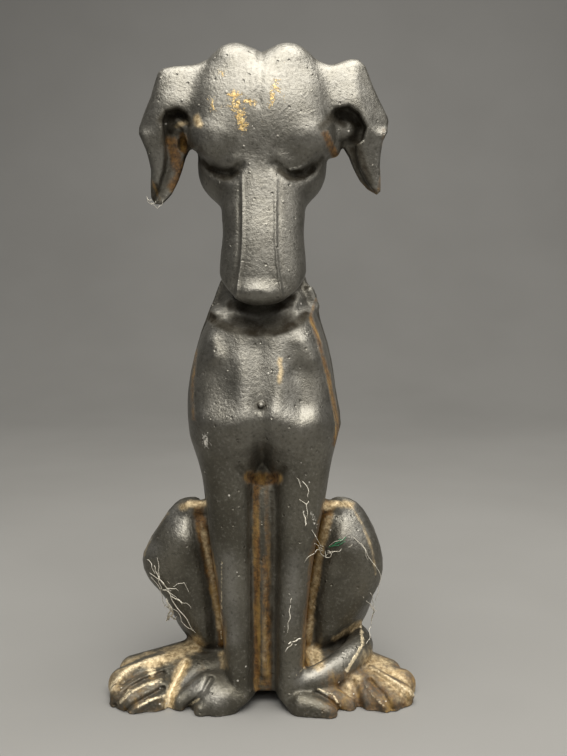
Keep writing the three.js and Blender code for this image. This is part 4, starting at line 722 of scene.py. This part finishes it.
# painted shade laid into the same mask: the eye crescents under the brows, under the nose, the neck ledge under the
# chin, the ear hollows and the edges of the web
grime_and_shade = np.maximum(grime_and_shade, seen * spots([(1.0, 1.8, [(-33.0, 329.3), (-29.7, 325.4), (-25.7, 322.6), (-21.1, 320.9), (-17.1, 320.9), (-13.6, 323.1)]), (1.0, 1.8, [(10.4, 324.3), (13.9, 321.7), (17.9, 320.3), (22.5, 320.6), (26.5, 322.6), (29.9, 325.4)]), (1.0, 2.0, [(-25.7, 321.5), (-21.1, 319.8), (-17.1, 320.3)]), (1.0, 2.0, [(15.6, 320.3), (20.2, 319.5), (24.2, 320.3)]),
    (1.0, 3.4, [(-30.5, 240.5), (-25.3, 236.4), (-17.1, 232.9), (-8.9, 231.2), (-0.7, 230.6), (6.9, 231.2), (14.5, 233.5), (21.5, 237.0), (26.1, 240.5)]),
    (1.0, 3.2, [(-56.1, 352.2), (-52.7, 356.1), (-47.0, 356.7), (-41.9, 352.8)]), (0.9, 3.0, [(-54.5, 346.7), (-55.2, 340.0)]), (1.0, 2.6, [(-60.7, 315.2), (-62.6, 307.3)]), (1.0, 3.0, [(39.4, 353.3), (44.0, 356.7), (50.8, 354.4), (55.4, 348.9)]), (0.9, 2.6, [(54.4, 341.1), (57.9, 329.9), (62.6, 317.5)]), (0.9, 2.4, [(52.1, 335.5), (55.6, 326.5)]),
    (0.9, 4.0, [(-17.0, 247.0), (0.5, 244.0), (15.6, 248.1)]), (0.75, 6.0, [(-15.3, 237.0), (0.4, 233.5), (15.6, 238.2)]), (0.8, 3.0, [(-50.5, 347.8), (-45.9, 352.2), (-40.2, 350.0)]), (0.7, 3.0, [(34.9, 348.9), (40.6, 353.3), (47.4, 350.0)]),
    (0.8, 2.6, [(-63.1, 309.6), (-59.1, 313.0)]), (0.8, 3.0, [(0.2, 148.6), (0.2, 141.3)]), (0.75, 1.5, [(6.1, 135.2), (5.9, 10.5)]), (0.75, 1.3, [(-6.4, 135.2), (-7.0, 10.5)])]))
# painted light: lighter and glossier towards the top of the front and on faces turned up, less in the recesses; then
# painted highlights on the haunch tops, paws and legs, partly real wear
wear_and_highlight = np.clip(0.08 + 0.92 * np.clip((Z - 135) / 50, 0, 1) * ahead - 1.1 * grime_and_shade, 0, 1) * (0.5 + 0.5 * up)
wear_and_highlight = np.maximum(wear_and_highlight, 0.85 * seen * spots([(1.0, 7.0, [(-53.8, 122.9), (-49.2, 113.0)]), (0.8, 6.0, [(-67.4, 100.6)]), (1.0, 8.0, [(52.8, 124.1), (56.6, 108.7)]), (1.0, 5.0, [(23.1, 16.9), (38.4, 24.7), (53.6, 36.2)]),
                                      (0.9, 7.0, [(-44.4, 15.6), (-29.1, 4.0)]), (0.6, 5.0, [(-20.5, 93.1), (-17.2, 42.6)]), (0.6, 5.0, [(19.3, 93.1), (17.0, 55.3)])]))

for name, v in (("rust", rust), ("tan", tan), ("gold", gold), ("crust_and_highlight", crust_and_highlight), ("white", white), ("specks", specks), ("wear_and_highlight", wear_and_highlight), ("grime_and_shade", grime_and_shade)):
    a = fine.attributes.new(name, "FLOAT", "POINT")
    a.data.foreach_set("value", v.astype(np.float32))

place = (body - [MID[0], MID[1], 0]) * [1, 1, TALL] / 1000.0
fine.vertices.foreach_set("co", place.astype(np.float32).ravel())
fine.update()
fine.normals_split_custom_set_from_vertices(nr.astype(float).tolist())

# ---------------------------------------------------------------- finish of the iron


class Nodes:
    """Short calls for building a node material."""

    def __init__(s, name):
        s.m = bpy.data.materials.new(name)
        s.m.use_nodes = True
        s.t = s.m.node_tree
        s.t.nodes.clear()
        s.out = s.t.nodes.new("ShaderNodeOutputMaterial")
        s.bs = s.t.nodes.new("ShaderNodeBsdfPrincipled")
        s.t.links.new(s.bs.outputs["BSDF"], s.out.inputs["Surface"])
        s.co = s.t.nodes.new("ShaderNodeTexCoord").outputs["Object"]

    def put(s, socket, v):
        if isinstance(v, bpy.types.NodeSocket):
            s.t.links.new(v, socket)
        elif isinstance(v, tuple) and len(v) == 3 and socket.type == "RGBA":
            socket.default_value = (*v, 1)
        else:
            socket.default_value = v

    def math(s, op, a, b=0.0, c=None, clamp=False):
        nd = s.t.nodes.new("ShaderNodeMath")
        nd.operation = op
        nd.use_clamp = clamp
        s.put(nd.inputs[0], a)
        s.put(nd.inputs[1], b)
        if c is not None:
            s.put(nd.inputs[2], c)
        return nd.outputs[0]

    def noise(s, scale, detail=3.0, rough=0.55, dist=0.0, stretch=None):
        nd = s.t.nodes.new("ShaderNodeTexNoise")
        nd.inputs["Scale"].default_value = scale
        nd.inputs["Detail"].default_value = detail
        nd.inputs["Roughness"].default_value = rough
        nd.inputs["Distortion"].default_value = dist
        if stretch:
            mp = s.t.nodes.new("ShaderNodeMapping")
            mp.inputs["Scale"].default_value = stretch
            s.t.links.new(s.co, mp.inputs["Vector"])
            s.t.links.new(mp.outputs[0], nd.inputs["Vector"])
        else:
            s.t.links.new(s.co, nd.inputs["Vector"])
        return nd.outputs["Fac"]

    def cells(s, scale):
        nd = s.t.nodes.new("ShaderNodeTexVoronoi")
        nd.inputs["Scale"].default_value = scale
        s.t.links.new(s.co, nd.inputs["Vector"])
        return nd.outputs["Distance"], nd.outputs["Color"]

    def ramp(s, v, a, b, lo=0.0, hi=1.0, smooth=True):
        nd = s.t.nodes.new("ShaderNodeMapRange")
        nd.interpolation_type = "SMOOTHSTEP" if smooth else "LINEAR"
        s.put(nd.inputs["Value"], v)
        nd.inputs["From Min"].default_value = a
        nd.inputs["From Max"].default_value = b
        nd.inputs["To Min"].default_value = lo
        nd.inputs["To Max"].default_value = hi
        return nd.outputs["Result"]

    def mix(s, f, a, b):
        nd = s.t.nodes.new("ShaderNodeMix")
        nd.data_type = "RGBA"
        s.put(nd.inputs[0], f)
        s.put(nd.inputs[6], a)
        s.put(nd.inputs[7], b)
        return nd.outputs[2]

    def blend(s, f, a, b):
        nd = s.t.nodes.new("ShaderNodeMix")
        nd.data_type = "FLOAT"
        s.put(nd.inputs[0], f)
        s.put(nd.inputs[2], a)
        s.put(nd.inputs[3], b)
        return nd.outputs[0]

    def attr(s, name):
        nd = s.t.nodes.new("ShaderNodeAttribute")
        nd.attribute_name = name
        return nd.outputs["Fac"]

    def split(s, colour):
        nd = s.t.nodes.new("ShaderNodeSeparateColor")
        s.t.links.new(colour, nd.inputs[0])
        return nd.outputs

    def bump(s, height, dist, strength=1.0, over=None):
        nd = s.t.nodes.new("ShaderNodeBump")
        nd.inputs["Strength"].default_value = strength
        nd.inputs["Distance"].default_value = dist
        s.t.links.new(height, nd.inputs["Height"])
        if over is not None:
            s.t.links.new(over, nd.inputs["Normal"])
        return nd.outputs["Normal"]


def iron():
    s = Nodes("painted_cast_iron")
    broad, mid, grain, fine_ = s.noise(26, 4), s.noise(110, 4, 0.6), s.noise(520, 3, 0.6), s.noise(1400, 2)
    grime_and_shade_ramp = s.ramp(s.attr("grime_and_shade"), 0.18, 0.75)
    wear_and_highlight = s.math("MULTIPLY", s.attr("wear_and_highlight"), s.ramp(mid, 0.28, 0.72, 0.55, 1.0))
    # stove-black paint with a graphite sheen; a lighter colour where the wear mask is high, partly real burnish and
    # partly a painted highlight on the upper front and on faces turned up
    col = s.mix(s.ramp(broad, 0.35, 0.65), (0.080, 0.073, 0.055), (0.145, 0.135, 0.108))
    col = s.mix(s.ramp(grain, 0.50, 0.80, 0, 0.45), col, (0.300, 0.288, 0.255))
    col = s.mix(s.math("MULTIPLY", wear_and_highlight, 0.85), col, (0.350, 0.340, 0.312))
    col = s.mix(s.ramp(grain, 0.46, 0.28, 0, 0.6), col, (0.070, 0.066, 0.056))
    sheen = s.blend(wear_and_highlight, 0.80, 0.92)
    rough = s.blend(s.ramp(mid, 0.3, 0.7), 0.39, 0.49)
    # brown grime and painted shade in the hollows, creases and under the head: a dark, dull, low-reflecting colour
    dust_and_shade = s.math("MULTIPLY", grime_and_shade_ramp, s.ramp(mid, 0.30, 0.70, 0.45, 1.0))
    col = s.mix(s.math("MULTIPLY", dust_and_shade, 0.94), col, (0.020, 0.015, 0.009))
    sheen = s.blend(dust_and_shade, sheen, 0.05)
    rough = s.blend(dust_and_shade, rough, 0.85)
    # rust
    streak = s.noise(150, 4, 0.6, 0.0, (1.0, 1.0, 0.22))
    spread = s.math("MULTIPLY", s.math("SUBTRACT", s.noise(230, 5, 0.65), 0.5), 0.7)
    spread = s.math("ADD", spread, s.math("MULTIPLY", s.math("SUBTRACT", streak, 0.5), 0.6))
    rm = s.ramp(s.math("ADD", s.math("MULTIPLY", s.attr("rust"), 1.15), spread), 0.30, 0.95)
    rc = s.mix(s.ramp(s.noise(340, 4, 0.65), 0.28, 0.74), (0.030, 0.015, 0.005), (0.185, 0.092, 0.024))
    rc = s.mix(s.ramp(streak, 0.44, 0.72, 0, 0.65), rc, (0.380, 0.240, 0.070))
    col = s.mix(s.math("MULTIPLY", rm, 0.95), col, rc)
    # pale clay-coloured dirt
    spread = s.math("MULTIPLY", s.math("SUBTRACT", s.noise(150, 5, 0.62), 0.5), 1.15)
    tm = s.ramp(s.math("ADD", s.math("MULTIPLY", s.attr("tan"), 1.1), spread), 0.22, 1.0)
    tc = s.mix(s.ramp(s.noise(380, 4, 0.6), 0.30, 0.74), (0.270, 0.188, 0.090), (0.800, 0.640, 0.390))
    col = s.mix(s.math("MULTIPLY", tm, 0.92), col, tc)
    both = s.math("MAXIMUM", rm, tm)
    # cream crust along the edges of the toes, partly a painted highlight on the toe crests
    cm = s.ramp(s.math("ADD", s.attr("crust_and_highlight"), s.math("MULTIPLY", s.math("SUBTRACT", s.noise(420, 4, 0.65), 0.5), 1.3)), 0.45, 0.85)
    col = s.mix(s.math("MULTIPLY", cm, 0.9), col, (0.900, 0.770, 0.530))
    both = s.math("MAXIMUM", both, cm)
    sheen = s.blend(rm, sheen, 0.0)
    sheen = s.blend(tm, sheen, 0.35)
    rough = s.blend(rm, rough, 0.80)
    rough = s.blend(tm, rough, 0.55)
    # old gilding left on the brow
    g = s.attr("gold")
    gm = s.ramp(s.math("ADD", g, s.math("MULTIPLY", s.math("SUBTRACT", s.noise(600, 5, 0.76, 0.6), 0.5), 2.6)), 0.74, 0.98)
    gc = s.mix(s.ramp(s.noise(700, 2), 0.4, 0.6), (0.56, 0.36, 0.11), (0.84, 0.62, 0.28))
    col = s.mix(s.math("MULTIPLY", gm, 0.92), col, gc)
    rough = s.blend(gm, rough, 0.42)
    sheen = s.blend(gm, sheen, 0.45)
    # flecks of white
    w = s.attr("white")
    wm = s.ramp(s.math("ADD", w, s.math("MULTIPLY", s.math("SUBTRACT", s.noise(420, 5, 0.72, 0.5), 0.5), 2.2)), 0.70, 0.86)
    dd, cc = s.cells(210)
    pick = s.split(cc)
    few = s.math("MULTIPLY", s.ramp(dd, 0.10, 0.16, 1, 0), s.math("GREATER_THAN", pick[0], s.ramp(s.attr("specks"), 0, 1, 0.988, 0.80)))
    wm = s.math("MAXIMUM", wm, s.math("MULTIPLY", few, 0.75))
    col = s.mix(wm, col, (0.72, 0.69, 0.62))
    rough = s.blend(wm, rough, 0.7)
    sheen = s.blend(wm, sheen, 0.0)
    s.put(s.bs.inputs["Base Color"], col)
    s.put(s.bs.inputs["Roughness"], rough)
    s.put(s.bs.inputs["Metallic"], sheen)
    s.put(s.bs.inputs["Specular IOR Level"], s.blend(dust_and_shade, 0.5, 0.08))
    # grain of the sand mould, small pits and nubs
    d1, c1 = s.cells(300)
    pick = s.split(c1)
    pit = s.math("MULTIPLY", s.ramp(d1, 0.08, 0.34, 1, 0), s.math("GREATER_THAN", pick[0], 0.93))
    nub = s.math("MULTIPLY", s.ramp(d1, 0.10, 0.34, 1, 0), s.math("LESS_THAN", pick[0], 0.05))
    h = s.math("ADD", s.math("MULTIPLY", grain, 1.2), s.math("MULTIPLY", fine_, 0.35))
    h = s.math("ADD", h, s.math("MULTIPLY", s.math("SUBTRACT", s.math("MULTIPLY", nub, 0.7), pit), 1.5))
    h = s.math("ADD", h, s.math("MULTIPLY", both, s.math("MULTIPLY", s.noise(750, 3), 0.9)))
    h = s.math("ADD", h, s.math("MULTIPLY", s.math("ADD", wm, gm), 0.5))
    s.put(s.bs.inputs["Normal"], s.bump(h, 0.00040, 0.8))
    s.bs.inputs["IOR"].default_value = 1.5
    return s.m


statue.data.materials.clear()
statue.data.materials.append(iron())
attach(statue, "root")
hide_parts("dog_statue")

# ---------------------------------------------------------------- lint, web and hair caught on the casting


def strand(pts, r, seed, loose=0.6, per=5, ring=5):
    """A thin wandering thread through points (mm), as a closed tube."""
    pts = [np.array(p, float) for p in pts]
    ext = [2 * pts[0] - pts[1]] + pts + [2 * pts[-1] - pts[-2]]
    line = []
    for i in range(1, len(ext) - 2):
        a, b, c, d = ext[i - 1:i + 3]
        for j in range(per):
            t = j / per
            line.append(0.5 * (2 * b + (c - a) * t + (2 * a - 5 * b + 4 * c - d) * t * t + (3 * b - a - 3 * c + d) * t ** 3))
    line.append(pts[-1])
    line = np.array(line)
    m = len(line)
    idx = np.arange(m)
    for ax in range(3):
        line[:, ax] += loose * (np.sin(idx * 1.3 + seed * 2.1 + ax * 1.7) * 0.35 + np.sin(idx * 0.55 + seed * 3.3 + ax * 2.9) * 0.65)
    tan_ = np.gradient(line, axis=0)
    tan_ /= np.linalg.norm(tan_, axis=1)[:, None] + 1e-9
    side = np.cross(tan_, [0.31, 0.87, 0.38])
    side /= np.linalg.norm(side, axis=1)[:, None] + 1e-9
    over = np.cross(tan_, side)
    verts, faces = [], []
    for i in range(m):
        w = r * (0.55 + 0.45 * math.sin(math.pi * min(1.0, (i + 0.5) / m * 1.02)))
        for k in range(ring):
            a = 2 * math.pi * k / ring
            verts.append(line[i] + w * (math.cos(a) * side[i] + math.sin(a) * over[i]))
    for i in range(m - 1):
        for k in range(ring):
            q = (k + 1) % ring
            faces.append((i * ring + k, i * ring + q, (i + 1) * ring + q))
            faces.append((i * ring + k, (i + 1) * ring + q, (i + 1) * ring + k))
    e = len(verts)
    verts += [line[0], line[-1]]
    for k in range(ring):
        q = (k + 1) % ring
        faces.append((e, q, k))
        faces.append((e + 1, (m - 1) * ring + k, (m - 1) * ring + q))
    return np.array(verts), np.array(faces)


def onto(u, v, off):
    """Point on the skin seen at (u, v) on the sheet, lifted a little towards the front."""
    far = (U - u) ** 2 + (V - v) ** 2
    cand = np.where((far < 5.0) & (nr[:, 1] < 0.35))[0]
    if len(cand) == 0:
        cand = np.array([int(np.argmin(far + 0.02 * np.maximum(Y + 20, 0) ** 2))])
    i = cand[np.argmin(body[cand, 1])]
    y = body[i, 1] - off
    kk = (y - EYE[1]) / (SHEET - EYE[1])
    return [EYE[0] + (u - EYE[0]) * kk, y, EYE[2] + (v - EYE[2]) * kk]


def threads(name, rows, material, node_scale=1.0):
    V_, F_, base = [], [], 0
    for j, (r, loose, pts) in enumerate(rows):
        path = [onto(p[0], p[1], p[2] if len(p) > 2 else 0.5) for p in pts]
        v, f = strand(path, r, j + len(name), loose)
        V_.append(v)
        F_.append(f + base)
        base += len(v)
    V_ = (np.concatenate(V_) - [MID[0], MID[1], 0]) * [1, 1, TALL] / 1000.0
    ob = new_object(name, V_, np.concatenate(F_))
    ob.data.materials.append(material)
    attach(ob, "root")
    return ob


def plain(name, a, b, rough, scale):
    s = Nodes(name)
    s.put(s.bs.inputs["Base Color"], s.mix(s.ramp(s.noise(scale, 3), 0.35, 0.65), a, b))
    s.bs.inputs["Roughness"].default_value = rough
    return s.m


LINT = [
    # tangle on the left haunch
    (0.22, 0.9, [(-65.8, 88.7), (-62.9, 84.4), (-61.1, 78.7), (-57.0, 74.3), (-52.2, 69.3)]), (0.16, 1.1, [(-67.7, 85.6), (-64.1, 80.6), (-59.3, 78.1), (-55.8, 73.0)]),
    (0.16, 1.0, [(-63.3, 93.1), (-61.6, 85.6), (-63.0, 78.1), (-59.4, 73.0)]), (0.20, 0.8, [(-61.8, 75.6), (-57.0, 71.8), (-52.9, 65.5), (-47.5, 56.6), (-42.1, 48.3)]),
    (0.14, 1.2, [(-58.1, 79.3), (-52.7, 76.8), (-48.4, 78.1), (-43.7, 73.0)]), (0.14, 0.9, [(-66.5, 81.8), (-61.8, 73.0), (-58.9, 65.5), (-54.7, 60.4)]),
    (0.55, 0.7, [(-58.3, 68.0), (-55.9, 64.2), (-54.8, 59.1), (-56.6, 55.3)]), (0.45, 0.8, [(-59.5, 64.2), (-56.0, 60.4), (-57.9, 54.7)]), (0.30, 0.6, [(-54.6, 69.3), (-51.0, 68.0), (-48.6, 64.2)]),
    (0.14, 1.0, [(-55.9, 62.9), (-50.5, 57.9), (-46.4, 51.5), (-41.5, 46.4)]), (0.12, 1.2, [(-52.2, 68.0), (-47.4, 66.1), (-43.8, 61.7)]), (0.35, 0.7, [(-57.2, 57.9), (-53.6, 55.3), (-51.8, 56.6)]),
    (0.18, 0.9, [(-60.0, 73.7), (-55.1, 74.9), (-50.9, 73.0)]), (0.13, 0.8, [(-70.0, 93.1), (-66.4, 89.4), (-64.7, 84.4)]),
    # along the outer edge of the right haunch
    (0.16, 1.0, [(62.4, 69.3), (66.1, 64.2), (67.4, 56.6), (65.7, 47.7), (63.4, 38.8)]), (0.14, 0.9, [(64.8, 71.8), (67.9, 65.5), (69.2, 60.4)]), (0.20, 0.8, [(66.1, 65.5), (67.4, 60.4), (66.2, 54.1)]),
    (0.13, 0.9, [(59.1, 102.5), (64.6, 95.6), (69.5, 86.9), (71.4, 76.8), (69.1, 66.7)]), (0.12, 0.8, [(54.2, 109.3), (60.3, 100.6), (64.0, 93.1)]),
    # spun across the right haunch
    (0.15, 1.0, [(30.2, 102.5), (36.2, 100.6), (41.0, 96.9), (47.6, 98.7), (54.2, 102.5)]), (0.13, 1.0, [(31.3, 111.8), (32.6, 104.9), (36.8, 101.2), (44.0, 103.7), (50.6, 106.2)]),
    (0.17, 0.7, [(33.8, 100.0), (37.4, 95.6), (42.2, 98.1)]), (0.12, 0.9, [(26.0, 91.9), (31.4, 97.5), (37.4, 99.3)]), (0.16, 0.6, [(38.0, 97.5), (39.2, 94.4), (41.6, 95.6), (40.4, 98.7)]),
    # fluff on the right foreleg and low on the paw
    (0.20, 0.8, [(24.0, 142.5), (27.0, 136.4), (28.3, 130.3), (25.9, 125.4)]), (0.30, 0.7, [(24.7, 122.9), (26.5, 118.6), (25.3, 113.6)]), (0.16, 0.9, [(22.9, 130.3), (26.5, 125.4), (28.3, 118.6)]),
    (0.32, 0.6, [(15.7, 39.4), (19.4, 41.3), (23.1, 42.6)]), (0.20, 0.6, [(13.9, 34.9), (17.6, 38.8), (21.2, 39.4)]), (0.16, 0.8, [(18.2, 68.0), (16.9, 60.4), (15.7, 52.2), (16.4, 46.4)]),
    (0.15, 0.8, [(20.5, 143.7), (22.9, 138.9), (25.2, 137.0)]),
    # tip of the left ear
    (0.14, 0.5, [(-64.9, 307.9), (-63.8, 305.6), (-62.1, 305.1), (-60.3, 306.8)]), (0.13, 0.6, [(-63.2, 304.5), (-60.4, 303.4), (-58.1, 303.9), (-56.3, 306.8)]), (0.12, 0.5, [(-65.4, 309.6), (-64.3, 307.3), (-62.6, 306.8)]),
]
lint_mat = plain("pale_lint", (0.55, 0.51, 0.42), (0.88, 0.84, 0.74), 0.8, 900)
LINT = [(r * 1.45, loose * 1.25, pts) for r, loose, pts in LINT]
threads("lint_strands", LINT, lint_mat)
FIBRE = [(0.32, 0.3, [(40.4, 100.6), (44.0, 102.5), (47.6, 104.3), (50.6, 106.8)]), (0.22, 0.4, [(41.6, 101.2), (45.8, 101.8), (50.0, 104.3)]), (0.2, 0.3, [(44.0, 102.5), (45.8, 104.9), (48.8, 105.6)])]
threads("green_fibre", FIBRE, plain("green_fibre", (0.02, 0.16, 0.07), (0.05, 0.30, 0.13), 0.7, 900))

# ---------------------------------------------------------------- floor, light, camera


def floor_sheet():
    """Pale floor that curves up into a backdrop."""
    prof = [(-1.6, 0.0), (0.9, 0.0)]
    for i in range(1, 13):
        a = i / 12 * math.pi / 2
        prof.append((0.9 + 0.7 * math.sin(a), 0.7 - 0.7 * math.cos(a)))
    prof.append((1.6, 2.6))
    v, f = [], []
    for x in (-3.2, 3.2):
        v += [(x, a, b) for a, b in prof]
    m = len(prof)
    for i in range(m - 1):
        f.append((i, m + i, m + i + 1, i + 1))
    ob = new_object("floor", v, f)
    s = Nodes("pale_floor")
    s.put(s.bs.inputs["Base Color"], s.mix(s.ramp(s.noise(3.0, 3), 0.3, 0.7), (0.205, 0.202, 0.194), (0.225, 0.222, 0.214)))
    s.bs.inputs["Roughness"].default_value = 0.6
    ob.data.materials.append(s.m)
    return ob


floor_sheet()


def area(name, loc, aim, size, watts, colour=(1, 1, 1)):
    li = bpy.data.lights.new(name, "AREA")
    li.shape = "RECTANGLE"
    li.size, li.size_y = size
    li.energy = watts
    li.color = colour
    ob = bpy.data.objects.new(name, li)
    ob.location = loc
    ob.rotation_euler = (Vector(aim) - Vector(loc)).to_track_quat("-Z", "Y").to_euler()
    bpy.context.scene.collection.objects.link(ob)


area("overhead", (0.14, -0.36, 1.40), (0.14, -0.35, 0), (1.6, 1.7), 52, (1.0, 0.970, 0.905))
area("front", (0.10, -1.45, 1.15), (0, 0, 0.2), (1.5, 0.7), 6.5, (1.0, 0.970, 0.915))
area("right", (1.5, -0.55, 0.85), (0, 0, 0.24), (0.7, 0.9), 4.5, (1.0, 0.98, 0.95))
world = bpy.data.worlds.new("studio")
world.use_nodes = True
world.node_tree.nodes["Background"].inputs["Color"].default_value = (0.95, 0.96, 1.0, 1)
world.node_tree.nodes["Background"].inputs["Strength"].default_value = 0.09
bpy.context.scene.world = world
bpy.context.scene.view_settings.view_transform = "Standard"

cam = bpy.data.cameras.new("camera")
cam.sensor_width = 36.0
cam.lens = 50.0
cam.clip_start, cam.clip_end = 0.02, 20
eye = bpy.data.objects.new("camera", cam)
eye.location = ((EYE[0] - MID[0]) / 1000, (EYE[1] - MID[1]) / 1000, EYE[2] * TALL / 1000)
eye.rotation_euler = (math.radians(82.0), 0, 0)
bpy.context.scene.collection.objects.link(eye)
bpy.context.scene.camera = eye
